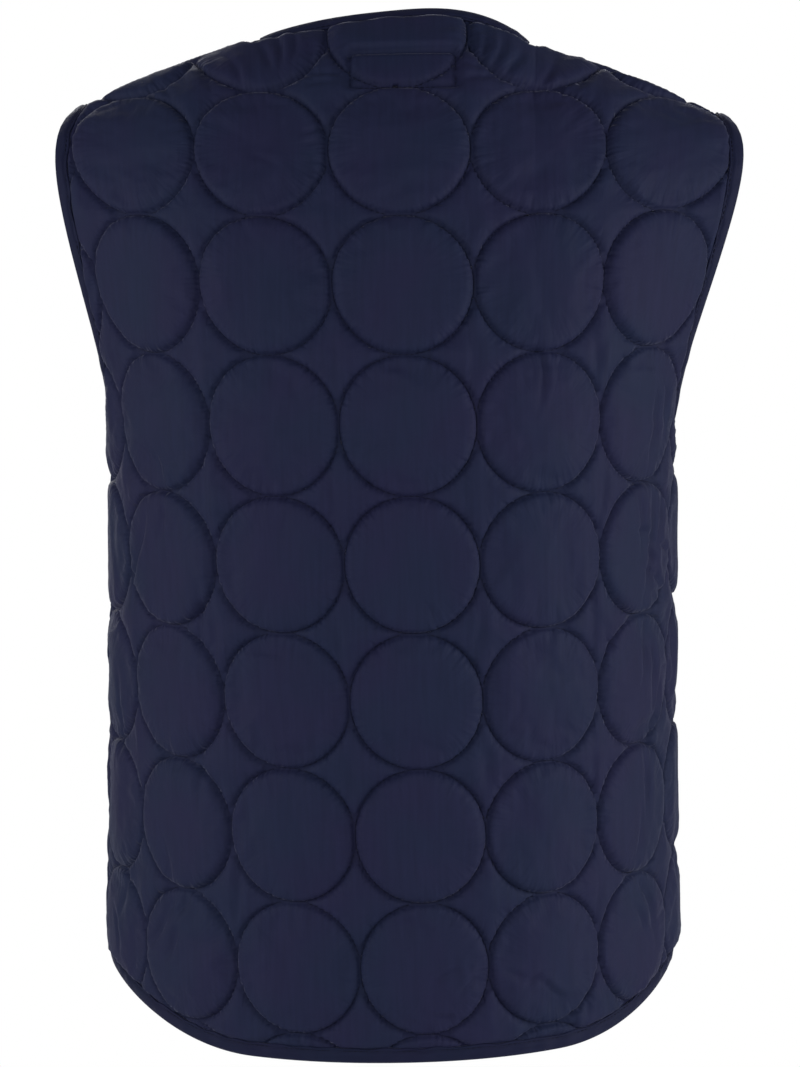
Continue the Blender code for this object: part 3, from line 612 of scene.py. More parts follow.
# a lattice grid cut to a panel's outline: the points used, the cells inside and their rim, numbered by those
def cutGrid(panel, cells):
    p, q = toLattice(panel, panel["outline"][:, 0], panel["outline"][:, 1])
    columns = np.arange(math.floor(p.min() * cells) - 1, math.ceil(p.max() * cells) + 2) / cells
    rows = np.arange(math.floor(q.min() * cells) - 1, math.ceil(q.max() * cells) + 2) / cells
    middle = 0.5 / cells
    inside = cellsInside(columns[:-1] + middle, rows[:-1] + middle, np.stack([p, q], 1))
    faces = gridFaces(len(rows), len(columns))[inside.ravel()]
    gridP, gridQ = np.meshgrid(columns, rows)
    edges = np.sort(np.concatenate([faces[:, [k, (k + 1) % 4]] for k in range(4)]), 1)
    _, first, count = np.unique(edges @ (gridP.size, 1), return_index=True, return_counts=True)
    rim = edges[first[count == 1]]
    used = np.unique(faces)
    index = np.full(gridP.size, -1)
    index[used] = np.arange(len(used))
    return {"p": gridP, "q": gridQ, "used": used, "faces": index[faces], "rim": index[rim]}


# positions, tangents for a unit of p and of q, and normals over a whole lattice grid
def gridFrames(panel, grid):
    a, v = toFlat(panel, grid["p"].ravel(), grid["q"].ravel())
    here = bend(panel, a, v)[0].reshape(*grid["p"].shape, 3)
    cell = grid["p"][0, 1] - grid["p"][0, 0]
    alongP, alongQ = np.gradient(here, cell, axis=1), np.gradient(here, cell, axis=0)
    normal = outward(here, alongP, alongQ)
    here = here - normal * push(panel, a).reshape(grid["p"].shape)[..., None]
    return [field.reshape(-1, 3) for field in (here, alongP, alongQ, normal)]


# creases, listed one by one: middle across and up, degrees, length, width and depth, in millimetres
backCreases = (
    # on the circles of the middle columns
    (-94, 52, 92, 34, 1.6, 2.2),
    (-91, 66, 60, 10, 1.3, 1.6),
    (-95, -336, 38, 18, 1.7, 1.8),
    (-85, -331, -32, 16, 1.6, 1.6),
    (-103, -343, 28, 14, 1.6, 1.4),
    (-72, -327, 22, 16, 1.6, 1.5),
    (-25, -324, -24, 20, 1.7, 1.6),
    (-40, -331, -38, 18, 1.6, 1.6),
    (-30, -354, 12, 30, 1.8, 1.4),
    (50, 205, 166, 14, 1.4, 1.6),
    (49, 198, 158, 11, 1.3, 1.3),
    (82, 186, 20, 18, 1.8, 0.9),
    (16, -12, 80, 16, 1.6, 1.2),
    (-20, -90, 50, 14, 1.6, 1.2),
    # down the stars between the circles
    (39, -26, 93, 40, 3.2, 1.5),
    (-43, -18, 86, 36, 3.2, 1.4),
    (-52, -102, 95, 44, 3.2, 1.6),
    (-55, -192, 88, 40, 3.5, 1.4),
    (37, -112, 84, 36, 3.2, 1.3),
    (33, -198, 92, 40, 3.2, 1.4),
    (37, 60, 88, 34, 3.2, 1.2),
    (-49, 64, 84, 36, 3.2, 1.4),
    (41, 146, 96, 34, 3.2, 1.2),
    (-47, 146, 86, 30, 3.2, 1.1),
    (126, -12, 80, 36, 3.5, 1.5),
    (132, -100, 92, 46, 2.9, 1.8),
    (121, -104, 84, 30, 2.9, 1.2),
    (139, -196, 86, 44, 3.2, 1.6),
    (112, -276, 95, 40, 3.2, 1.4),
    (171, -268, 80, 40, 3.5, 1.6),
    (-139, -28, 100, 44, 3.2, 1.7),
    (-133, -106, 88, 44, 3.2, 1.6),
    (-146, -117, 70, 28, 2.9, 1.3),
    (-135, -202, 92, 44, 3.2, 1.6),
    (-132, 62, 78, 38, 3.5, 1.4),
    (-140, -285, 96, 36, 3.2, 1.4),
    # on the circles of the outer columns
    (164, -5, 62, 24, 2.4, 1.9),
    (174, 0, 48, 22, 2.2, 1.7),
    (185, -60, 118, 44, 2.8, 2.2),
    (160, -42, 104, 26, 2.4, 1.6),
    (196, -78, 132, 24, 2.2, 1.6),
    (159, -291, 124, 30, 2.4, 2),
    (180, -309, 128, 44, 2.8, 2.4),
    (168, -318, 116, 26, 2.4, 1.8),
    (231, -293, 106, 40, 3, 2.2),
    (244, -322, 66, 26, 2.6, 1.8),
    (232, -180, 98, 46, 3, 2),
    (-181, -52, 20, 22, 2.2, 1.8),
    (-196, -82, 34, 28, 2.4, 2.2),
    (-203, -92, 12, 22, 2.2, 1.8),
    (-192, -70, 56, 26, 2.4, 1.6),
    (-195, -298, 62, 44, 2.8, 2.4),
    (-185, -307, 52, 30, 2.4, 1.8),
    (-199, -190, 96, 38, 2.8, 1.8),
    (-240, -130, 88, 50, 3.2, 2.2),
    (-190, -60, 96, 62, 3, 3),
    (-200, -48, 102, 40, 2.4, 2.4),
    (-177, -44, 82, 44, 2.8, 2),
    (-208, -64, 24, 24, 2, 2.2),
    (-186, -130, 94, 40, 2.6, 2.4),
    (-196, -140, 80, 48, 2.8, 2.6),
    (-203, -168, 104, 36, 2.4, 2),
    (-192, -222, 86, 46, 2.8, 2.4),
    (-184, -252, 100, 34, 2.6, 1.8),
    (-190, 18, 90, 48, 2.8, 2.4),
    (-200, 34, 76, 36, 2.4, 2),
    # folds drawn out from the lower corners of the neck patch
    (41, 247, 4, 24, 1.8, 1.8),
    (46, 240, -6, 20, 1.6, 1.4),
    (24, 244, -38, 12, 1.4, 1.2),
    (-54, 244, -8, 24, 1.8, 1.8),
    (-50, 252, 24, 16, 1.6, 1.3),
    (-34, 248, 40, 14, 1.4, 1.2),
    # gathers beside the neck
    (80, 263, 78, 26, 2.2, 2.2),
    (71, 267, 86, 30, 2, 2.4),
    (62, 270, 94, 26, 2, 2),
    (52, 259, 102, 20, 2, 1.6),
    (100, 252, 70, 26, 2.2, 1.8),
    (122, 246, 66, 24, 2.2, 1.7),
    (150, 238, 60, 24, 2.4, 1.8),
    (-50, 273, 84, 22, 2, 2),
    (-58, 267, 98, 28, 2, 2.4),
    (-66, 260, 108, 28, 2, 2.2),
    (-75, 255, 116, 26, 2.2, 2),
    (-98, 248, 112, 26, 2.2, 1.8),
    (-120, 244, 120, 24, 2.2, 1.7),
    # gathers above the hem
    (72, -372, 84, 16, 1.8, 1.6),
    (64, -371, 96, 14, 1.6, 1.3),
    (-118, -362, 78, 18, 1.8, 1.6),
    (-130, -358, 92, 16, 1.8, 1.4),
    (-148, -353, 70, 18, 1.8, 1.4),
)
leftCreases = (
    # down the stars
    (86, -16, 92, 38, 3.2, 1.4),
    (83, -104, 86, 44, 3.2, 1.6),
    (90, -190, 94, 40, 3.2, 1.4),
    (87, -276, 88, 42, 3.2, 1.5),
    (171, -12, 84, 36, 3.2, 1.5),
    (176, -100, 95, 44, 3.2, 1.7),
    (169, -186, 90, 40, 3.2, 1.4),
    (84, 70, 82, 36, 3.2, 1.3),
    # on the circles, drawn towards the lap, the side and the hem
    (40, -66, 12, 24, 2, 1.4),
    (36, -238, -14, 26, 2, 1.5),
    (126, -60, 112, 36, 2.6, 1.8),
    (137, -238, 64, 40, 2.8, 2.1),
    (122, -318, 52, 28, 2.4, 1.8),
    (214, -148, 98, 46, 3, 2),
    (208, -304, 118, 38, 2.8, 2.1),
    # below the shoulder
    (128, 196, 76, 30, 2.2, 1.9),
    (146, 203, 64, 26, 2.2, 1.8),
    (168, 190, 70, 28, 2.4, 1.8),
    (181, 70, 104, 30, 2.6, 1.7),
)
rightCreases = (
    # down the stars
    (84, -20, 86, 40, 3.2, 1.5),
    (88, -98, 95, 38, 3.2, 1.4),
    (85, -194, 88, 44, 3.2, 1.6),
    (92, -280, 84, 36, 3.2, 1.3),
    (174, -18, 98, 40, 3.2, 1.6),
    (168, -106, 86, 38, 3.2, 1.4),
    (177, -192, 92, 44, 3.2, 1.6),
    (89, 66, 94, 34, 3.2, 1.2),
    # drawn from the studs, and on the circles
    (23, -78, 24, 22, 1.8, 1.5),
    (24, -172, -18, 24, 1.8, 1.6),
    (21, -260, 32, 18, 1.8, 1.4),
    (24, 2, -26, 20, 1.8, 1.4),
    (132, -52, 68, 34, 2.6, 1.8),
    (121, -150, 118, 30, 2.4, 1.7),
    (140, -306, 126, 40, 2.8, 2.2),
    (128, -316, 112, 26, 2.4, 1.7),
    (210, -62, 84, 44, 3, 2),
    (216, -236, 62, 40, 2.8, 2.1),
    # below the shoulder
    (122, 200, 104, 28, 2.2, 1.9),
    (140, 196, 112, 30, 2.2, 2),
    (160, 200, 98, 24, 2.2, 1.6),
    (184, 82, 76, 32, 2.6, 1.8),
)
creases = {"back": backCreases, "left": leftCreases, "right": rightCreases}


# each crease is a trough with a low ridge beside it, bowed a little, that dies away along its length
def creaseDepth(a, v, table):
    total = np.zeros_like(a)
    for middleA, middleV, degrees, length, width, depth in table:
        c, s = math.cos(math.radians(degrees)), math.sin(math.radians(degrees))
        across, up = 1000 * a - middleA, 1000 * v - middleV
        along = across * c + up * s
        aside = up * c - across * s + 0.25 * along**2 / length
        trough = np.exp(-((aside / width) ** 2))
        ridge = 0.35 * np.exp(-(((aside - 2.2 * width) / (1.5 * width)) ** 2))
        total += depth / 1000 * (trough - ridge) * np.exp(-((2 * along / length) ** 2))
    return total


# a panel: the sheet's swelling, pulled in along the stitches and flat at the edges, over its plain inside
def paddedPanel(word, sheet):
    panel = panels[word]
    grid = cutGrid(panel, 2 * quilt["cells"])
    here, alongP, alongQ, normal = gridFrames(panel, grid)
    used = grid["used"]
    gridP, gridQ = grid["p"].ravel()[used], grid["q"].ravel()[used]
    p, q, centre, aside, fromStitch = drawnToStitches(gridP, gridQ, quilt["pitch"] / (2 * quilt["cells"]))
    flat = np.stack(toFlat(panel, p, q), 1)
    if panel["hand"] == 0:
        toPatch, atPatch = toCurves(flat, [patchCorners()])
        onPatch = toPatch < quilt["pitch"] / (4 * quilt["cells"])
        flat = np.where(onPatch[:, None], atPatch, flat)
        toPatch = np.where(onPatch, 0, toPatch)
        p, q = toLattice(panel, flat[:, 0], flat[:, 1])
    a, v = flat.T
    edges = panel["edges"]
    seams = [curve for edge, curve in edges.items() if edge.startswith(("side", "shoulder"))]
    bound = [curve for edge, curve in edges.items() if not edge.startswith(("side", "shoulder"))]
    toSeam, atSeam = toCurves(flat, seams)
    toBound, atBound = toCurves(flat, bound)
    swelled = readSheet(sheet, p + panel["sheet"], q)
    reach = np.hypot(*aside)
    random = np.random.default_rng(quilt["seed"])
    teeth, slow = puckers(centre, np.arctan2(aside[1], aside[0]), fromStitch, random)
    below = smoothStep(0.3, 1.0, aside[1] / np.maximum(reach, 1e-9))
    uneven = np.where(reach < quilt["radius"], *quilt["unevenness"]) * (swelled[:, 2] - 1)
    height = pillow(reach) * (1 + uneven) + teeth
    pinched = quilt["pinch"] * (1 + 0.4 * slow + 0.8 * below)
    height *= 1 - np.exp(-((fromStitch / pinched) ** 1.3))
    shift = swelled[:, :2] * smoothStep(0.001, 0.006, fromStitch)[:, None]
    height -= creaseDepth(a, v, creases[word])
    pulled = fromStitch
    if panel["hand"] == 0:
        pressed = np.where(insideLoop(flat, patchCorners()[:-1]), neckPatch["pressed"], 1.0)
        height *= smoothStep(0, 0.004, toPatch) * pressed
        pulled = np.minimum(fromStitch, toPatch)
    else:
        height *= smoothStep(*cut["lapThinned"], a) if panel["hand"] > 0 else pressedFlat(a, v)
    edgeRise = smoothStep(*quilt["fromBinding"], toBound) * smoothStep(*quilt["fromSeam"], toSeam)
    sunk = quilt["pull"] * np.exp(-((pulled / quilt["groove"]) ** 2)) * smoothStep(0.007, 0.009, toBound)
    height = height * edgeRise - sunk
    shift *= edgeRise[:, None]
    out = cut["wall"] * (0.30 + 0.70 * smoothStep(0, 0.0045, toSeam)) + height
    onRim = np.isin(np.arange(len(used)), grid["rim"])
    rimPoint = np.where((toSeam < toBound)[:, None], atSeam, atBound)
    rimP, rimQ = toLattice(panel, rimPoint[:, 0], rimPoint[:, 1])
    p, q = np.where(onRim, rimP, p + shift[:, 0]), np.where(onRim, rimQ, q + shift[:, 1])
    ground = here[used] + alongP[used] * (p - gridP)[:, None] + alongQ[used] * (q - gridQ)[:, None]
    points = ground + normal[used] * out[:, None]
    faces, rim = grid["faces"], grid["rim"]
    foot = np.unique(rim)
    lower = np.full(len(used), -1)
    lower[foot] = len(used) + np.arange(len(foot))
    walls = np.concatenate([rim, lower[rim[:, ::-1]]], 1)
    points = np.concatenate([points, (ground + normal[used] * 0.0002)[foot]])
    if facesInward(points, faces, normal[used]):
        faces = faces[:, ::-1]
    walls = wallsOutward(points, faces, walls)
    inner, innerFaces, innerFlat = insideFace(panel)
    sewn = besideStitches(faces, centre, aside, fromStitch, len(walls) + len(innerFaces))
    faces = np.concatenate([faces, walls, innerFaces + len(points)])
    flat = np.concatenate([flat, flat[foot], innerFlat])
    return meshObject(panel["node"] + "_quilted", np.concatenate([points, inner]), faces, flat, sewn)


# for each corner of the faces, its place along a circle's stitches and its distance from them;
# the distance grows where two circles meet, so that the puckers of one end before the other's begin
def besideStitches(faces, centre, aside, fromStitch, plainFaces):
    turn = np.arctan2(aside[1], aside[0])[faces]
    turn = np.where((np.ptp(turn, axis=1) > math.pi)[:, None] & (turn < 0), turn + math.tau, turn)
    toNext = quilt["pitch"] / 2 - np.abs(aside).max(0)
    away = fromStitch + 0.03 * (np.hypot(*aside) > quilt["radius"]) * (1 - smoothStep(0, 0.005, toNext))
    mixed = np.ptp(centre[0][faces], axis=1) + np.ptp(centre[1][faces], axis=1) > 0
    away = np.where(mixed[:, None], 0.05, away[faces])
    sewn = np.stack([turn * quilt["radius"], away], -1).reshape(-1, 2)
    return np.concatenate([sewn, np.full((4 * plainFaces, 2), 0.05)])


# whether the faces turn away from the normals, summed over all
def facesInward(points, faces, normal):
    first, second, third = (points[faces[:, k]] for k in (0, 1, 2))
    return (np.cross(second - first, third - first) * normal[faces[:, 0]]).sum() < 0


# a rim wall runs along its edge the other way than the face above it does
def wallsOutward(points, faces, walls):
    size = len(points)
    directed = np.concatenate([faces[:, k] * size + faces[:, (k + 1) % 4] for k in range(4)])
    same = np.isin(walls[:, 0] * size + walls[:, 1], directed)
    return np.where(same[:, None], walls[:, [1, 0, 3, 2]], walls)


# the cloth round each press stud is held flat
def pressedFlat(a, v):
    nearest = np.min([np.hypot(a, v - at) for at in studs["heights"]], axis=0)
    return smoothStep(*studs["pressed"], nearest)


# the plain inside of a panel on a wider grid, with the same circles showing faintly
def insideFace(panel):
    grid = cutGrid(panel, quilt["insideCells"])
    here, alongP, alongQ, normal = gridFrames(panel, grid)
    used = grid["used"]
    p, q = grid["p"].ravel()[used], grid["q"].ravel()[used]
    flat = np.stack(toFlat(panel, p, q), 1)
    toEdge, atEdge = toCurves(flat, panel["edges"].values())
    reach = np.linalg.norm((np.stack([p, q], 1) - np.round([p, q]).T) * quilt["pitch"], axis=1)
    onRim = np.isin(np.arange(len(used)), grid["rim"])
    rimP, rimQ = toLattice(panel, atEdge[:, 0], atEdge[:, 1])
    shift = np.where(onRim[:, None], np.stack([rimP - p, rimQ - q], 1), 0)
    ground = here[used] + alongP[used] * shift[:, :1] + alongQ[used] * shift[:, 1:]
    sink = 0.28 * pillow(reach) * smoothStep(0.006, 0.018, toEdge)
    points = ground - normal[used] * sink[:, None]
    faces = grid["faces"]
    if not facesInward(points, faces, normal[used]):
        faces = faces[:, ::-1]
    return points, faces, flat


sheet = quiltedSheet()
print("quilted sheet ready, highest point %.4f" % sheet[..., 2].max())
sheet[..., 2] = unevenness(sheet)
pieces = {}
for word in panels:
    pieces[word] = paddedPanel(word, sheet)
    print(word, "panel cut and bent,", len(pieces[word].data.polygons), "faces")

# folded strips along the open edges: how wide, thick and far off the cloth, and where their stitches run
strips = {
    "width": 0.0080,
    "wall": 0.0010,
    "gap": 0.0008,
    "step": 0.0022,
    "cut": 0.023,  # width before it is folded
    "clip": 0.0016,
    "seamBulk": 1.12,
    "stitchIn": 0.0063,
    "dip": 0.0007,
    "pucker": 0.30,
    "waver": 0.0005,
    "seed": 5,
}
thread = {"length": 0.0027, "every": 0.0036, "thick": 0.00026, "clear": 0.0095}


# section of a strip: distance in from the cloth's edge, height over its inside, and how loose it is there
def stripSection():
    share = np.linspace(0, 1, 11)
    inward = strips["width"] * (1 - share)
    swell = strips["wall"] * smoothStep(-0.14, 0.10, share) * (1 + 0.5 * np.sin(share * math.pi))
    dip = strips["dip"] * np.exp(-(((inward - strips["stitchIn"]) / 0.0007) ** 2))
    base, middle = cut["wall"] + strips["gap"], cut["wall"] / 2
    top = base + swell - dip
    angle = np.linspace(0, math.pi, 8)[1:-1]
    noseIn = -(strips["gap"] + 1.4 * strips["wall"]) * np.sin(angle)
    noseUp = middle + (top[-1] - middle) * np.cos(angle)
    lieIn = np.array([1, 0, -0.6 * strips["gap"] / strips["width"], 0, 1]) * strips["width"]
    lieUp = middle + (middle + 0.4 * strips["gap"]) * np.array([-1, -1, 0, 1, 1])
    inwards = np.concatenate([inward, noseIn, inward[::-1], lieIn])
    heights = np.concatenate([top, noseUp, cut["wall"] - top[::-1], lieUp])
    loose = np.concatenate([swell - dip, noseUp * 0, dip[::-1] - swell[::-1], lieUp * 0])
    return inwards, heights, loose


# uneven waves along a run, from sines of random length and phase
def waves(count, step, random, longest=0.045, shortest=0.009):
    lengths = random.uniform(shortest, longest, 9)
    phases = random.uniform(0, math.tau, 9)
    at = np.arange(count)[:, None] * step
    return np.sin(at / lengths * math.tau + phases).sum(1) / 3


# stations along an edge with their inward directions, the ends turned along the seams that meet there
def edgeRun(panel, word, clip=0.0, flip=False):
    words, edges = list(panel["edges"]), panel["edges"]
    at = words.index(word)
    points = spaced(edges[word], strips["step"])
    ahead = np.gradient(points, axis=0)
    ahead /= np.linalg.norm(ahead, axis=1)[:, None]
    direction = np.stack([-ahead[:, 1], ahead[:, 0]], 1)
    beside = {0: edges[words[at - 1]][-2], -1: edges[words[(at + 1) % len(words)]][1]}
    for end, point in beside.items():
        seam = (point - points[end]) / np.linalg.norm(point - points[end])
        direction[end] = seam if seam @ direction[end] > 0.6 else direction[end]
    points[0] += ahead[0] * clip
    points[-1] -= ahead[-1] * clip
    return (panel, points[::-1], direction[::-1]) if flip else (panel, points, direction)


# turns faces round if the volume that they close is negative
def facingOut(points, faces):
    first, second, third = (points[faces[:, k]] for k in (0, 1, 2))
    fourth = points[faces[:, 3]]
    volume = (np.cross(first, second) * third).sum() + (np.cross(first, third) * fourth).sum()
    return faces if volume > 0 else faces[:, ::-1]


# a strip carried along one run, or closed along two that meet at both ends
def binding(name, runs, closed, random):
    inward, height, loose = stripSection()
    size = len(inward)
    rings = []
    for panel, points, direction in runs:
        count = len(points)
        fade = 1 if not closed else np.sin(np.linspace(0, math.pi, count)) ** 0.4
        puckered = strips["pucker"] * (waves(count, strips["step"], random) * fade)[:, None]
        wavering = strips["waver"] * (waves(count, strips["step"], random) * fade)[:, None]
        fromEnd = np.minimum(np.arange(count), np.arange(count)[::-1])[:, None] * strips["step"]
        full = 1 if closed else 1 - 0.4 * np.exp(-fromEnd / 0.005)
        reach = inward + wavering * np.maximum(inward, 0) / strips["width"]
        reach = np.where(reach < 0, reach * full, reach)
        flat = points[:, None] + direction[:, None] * reach[..., None]
        ground, _, _, normal = frames(panel, flat[..., 0].ravel(), flat[..., 1].ravel())
        middle = cut["wall"] / 2
        up = (middle + (height - middle + loose * puckered) * full).ravel()
        rings.append((ground + normal * up[:, None]).reshape(count, size, 3))
    if closed:
        first, second = rings
        for end, meets in ((0, -1), (-1, 0)):
            shared = (first[end] + second[meets]) / 2
            middle = shared.mean(0)
            first[end] = middle + (shared - middle) * strips["seamBulk"]
        rings = [first, second[1:-1]]
    points = np.concatenate(rings)
    count = len(points)
    at = np.arange(count * size).reshape(count, size)
    faces = ringFaces(np.concatenate([at, at[:1]]) if closed else at)
    faces = facingOut(points.reshape(-1, 3), faces)
    ends = [] if closed else [at[0].tolist(), at[-1, ::-1].tolist()]
    if ends and faces[0, 1] == at[0, 1]:
        ends = [end[::-1] for end in ends]
    along = np.arange(count) * strips["step"]
    around = np.arange(size) * 0.0011
    uv = np.stack(np.broadcast_arrays(around, along[:, None]), -1)
    return meshObject(name, points, faces.tolist() + ends, uv)


# dashes of thread, each a four-sided bar along its seam that dips into the cloth at both ends
def threads(name, places, ahead, normal):
    share = np.array([-1.0, -0.62, 0.62, 1.0]) * thread["length"] / 2
    width = np.array([0.45, 1.0, 1.0, 0.45]) * thread["thick"]
    lift = np.array([-0.9, 0.35, 0.35, -0.9]) * thread["thick"]
    angle = (np.arange(4) + 0.5) / 4 * math.tau
    across = np.cross(ahead, normal)
    middle = places[:, None] + ahead[:, None] * share[:, None] + normal[:, None] * lift[:, None]
    spokes = across[:, None] * np.cos(angle)[:, None] + normal[:, None] * np.sin(angle)[:, None]
    points = middle[:, :, None] + spokes[:, None] * width[:, None, None]
    at = np.arange(16).reshape(4, 4)
    bar = np.concatenate([ringFaces(at), at[:1, ::-1], at[3:]])
    bar = facingOut(points[0].reshape(-1, 3) - places[0], bar)
    faces = (np.arange(len(places))[:, None, None] * 16 + bar).reshape(-1, 4)
    return meshObject(name, points, faces)


# points of a panel, unit directions there for headings on the flat cloth, and normals
def headed(panel, flat, heading):
    ground, along, up, normal = frames(panel, flat[:, 0], flat[:, 1])
    ahead = along * heading[:, :1] + up * heading[:, 1:]
    return ground, ahead / np.linalg.norm(ahead, axis=1)[:, None], normal


# stitches round every circle of a panel, and round the neck patch of the back, short of the edges
def quiltStitches(name, panel):
    p, q = toLattice(panel, panel["outline"][:, 0], panel["outline"][:, 1])
    columns, rows = (np.arange(round(way.min()), round(way.max()) + 1) for way in (p, q))
    count = round(math.tau * quilt["radius"] / thread["every"])
    angle = np.arange(count) / count * math.tau
    gridP, gridQ = np.meshgrid(columns, rows)
    share = quilt["radius"] / quilt["pitch"]
    circleP = (gridP.ravel()[:, None] + share * np.cos(angle)).ravel()
    circleQ = (gridQ.ravel()[:, None] + share * np.sin(angle)).ravel()
    flat = np.stack(toFlat(panel, circleP, circleQ), 1)
    turn = np.tile(angle, gridP.size) + panel["tilt"]
    heading = np.stack([-np.sin(turn), -np.cos(turn)], 1)
    if panel["hand"] == 0:
        corners = patchCorners()
        for start, side in zip(corners[:-1], np.diff(corners, axis=0)):
            length = np.linalg.norm(side)
            share = np.linspace(0, 1, round(length / thread["every"]) + 1)[:-1, None]
            flat = np.concatenate([flat, start + side * share])
            heading = np.concatenate([heading, np.tile(side / length, (len(share), 1))])
    keep = insideLoop(flat, panel["outline"])
    flat, heading = flat[keep], heading[keep]
    toEdge, _ = toCurves(flat, panel["edges"].values())
    clear = toEdge > thread["clear"]
    ground, ahead, normal = headed(panel, flat[clear], heading[clear])
    lift = cut["wall"] - quilt["pull"] + 0.6 * thread["thick"]
    return threads(name, ground + normal * lift, ahead, normal)


# stitches along the bindings, on the outside and the inside of the cloth
def bindingStitches(name, runs):
    inward, height, _ = stripSection()
    top = np.interp(strips["stitchIn"], inward[10::-1], height[10::-1])
    places, heads, faces = [], [], []
    for panel, points, direction in runs:
        length = strips["step"] * (len(points) - 1)
        at = np.arange(thread["every"], length - thread["every"], thread["every"]) / strips["step"]
        number = np.arange(len(points))
        line = points + direction * strips["stitchIn"]
        flat = np.stack([np.interp(at, number, line[:, k]) for k in (0, 1)], 1)
        heading = np.stack([np.interp(at, number, np.gradient(line[:, k])) for k in (0, 1)], 1)
        ground, ahead, normal = headed(panel, flat, heading)
        places += [ground + normal * top, ground + normal * (cut["wall"] - top)]
        heads += [ahead, ahead]
        faces += [normal, -normal]
    return threads(name, np.concatenate(places), np.concatenate(heads), np.concatenate(faces))


back, left, right = panels["back"], panels["left"], panels["right"]
bindings = {
    "neck_binding": [edgeRun(back, "neck", strips["clip"])],
    "hem_binding_back": [edgeRun(back, "hem", cut["seamGap"])],
    "edge_binding_left": [edgeRun(left, "edge", strips["clip"])],
    "edge_binding_right": [edgeRun(right, "edge", strips["clip"])],
    "armhole_binding_left": [edgeRun(back, "armholeLeft"), edgeRun(left, "armhole", flip=True)],
    "armhole_binding_right": [
        edgeRun(back, "armholeRight", flip=True),
        edgeRun(right, "armhole", flip=True),
    ],
}
random = np.random.default_rng(strips["seed"])
for node, runs in bindings.items():
    pieces[node] = binding(node + "_folded", runs, len(runs) == 2, random)
print("bindings folded over the edges")
for word, panel in panels.items():
    pieces[word + "Stitches"] = quiltStitches(panel["node"] + "_stitches", panel)
allRuns = [run for runs in bindings.values() for run in runs]
pieces["bindingStitches"] = bindingStitches("binding_stitches", allRuns)
print("stitches sewn")

# rings of a press-stud cap as shares of its radius and height: a rolled rim, a groove and a low dome
capRings = {
    "radius": (0.96, 1.0, 1.0, 0.95, 0.87, 0.81, 0.76, 0.64, 0.46, 0.24, 0.07),
    "height": (0.0, 0.10, 0.34, 0.48, 0.52, 0.45, 0.52, 0.76, 0.92, 1.0, 1.02),
    "sides": 40,
}


# a turned cap on the front that laps over
def studCap(name, v):
    ground, _, _, normal = frames(right, np.zeros(1), np.array([v]))
    axis = normal[0]
    across = np.cross(axis, (0, 0, 1))
    across /= np.linalg.norm(across)
    rise = np.cross(across, axis)
    angle = np.arange(capRings["sides"]) / capRings["sides"] * math.tau
    spokes = np.cos(angle)[:, None] * across + np.sin(angle)[:, None] * rise
    radius = np.array(capRings["radius"])[:, None, None] * studs["radius"]
    height = np.array(capRings["height"])[:, None, None] * studs["height"]
    points = ground[0] + axis * (cut["wall"] + cut["seamGap"] + height) + spokes * radius
    rings, size = points.shape[:2]
    at = np.arange(rings * size).reshape(rings, size)
    faces = ringFaces(at)
    away = facingOut(points.reshape(-1, 3) - ground[0], faces)
    flipped = away[0, 1] != faces[0, 1]
    ends = [at[0].tolist(), at[-1, ::-1].tolist()]
    ends = ends if flipped else [end[::-1] for end in ends]
    return meshObject(name, points, away.tolist() + ends)


for number, v in enumerate(studs["heights"], 1):
    pieces["stud%d" % number] = studCap("stud_%d_cap" % number, v)
print("studs pressed on")


# a math node on two sockets or numbers
def mathNode(tree, operation, first, second=0.0):
    node = tree.nodes.new("ShaderNodeMath")
    node.operation = operation
    for socket, value in zip(node.inputs, (first, second)):
        if isinstance(value, (int, float)):
            socket.default_value = value
        else:
            tree.links.new(value, socket)
    return node.outputs[0]


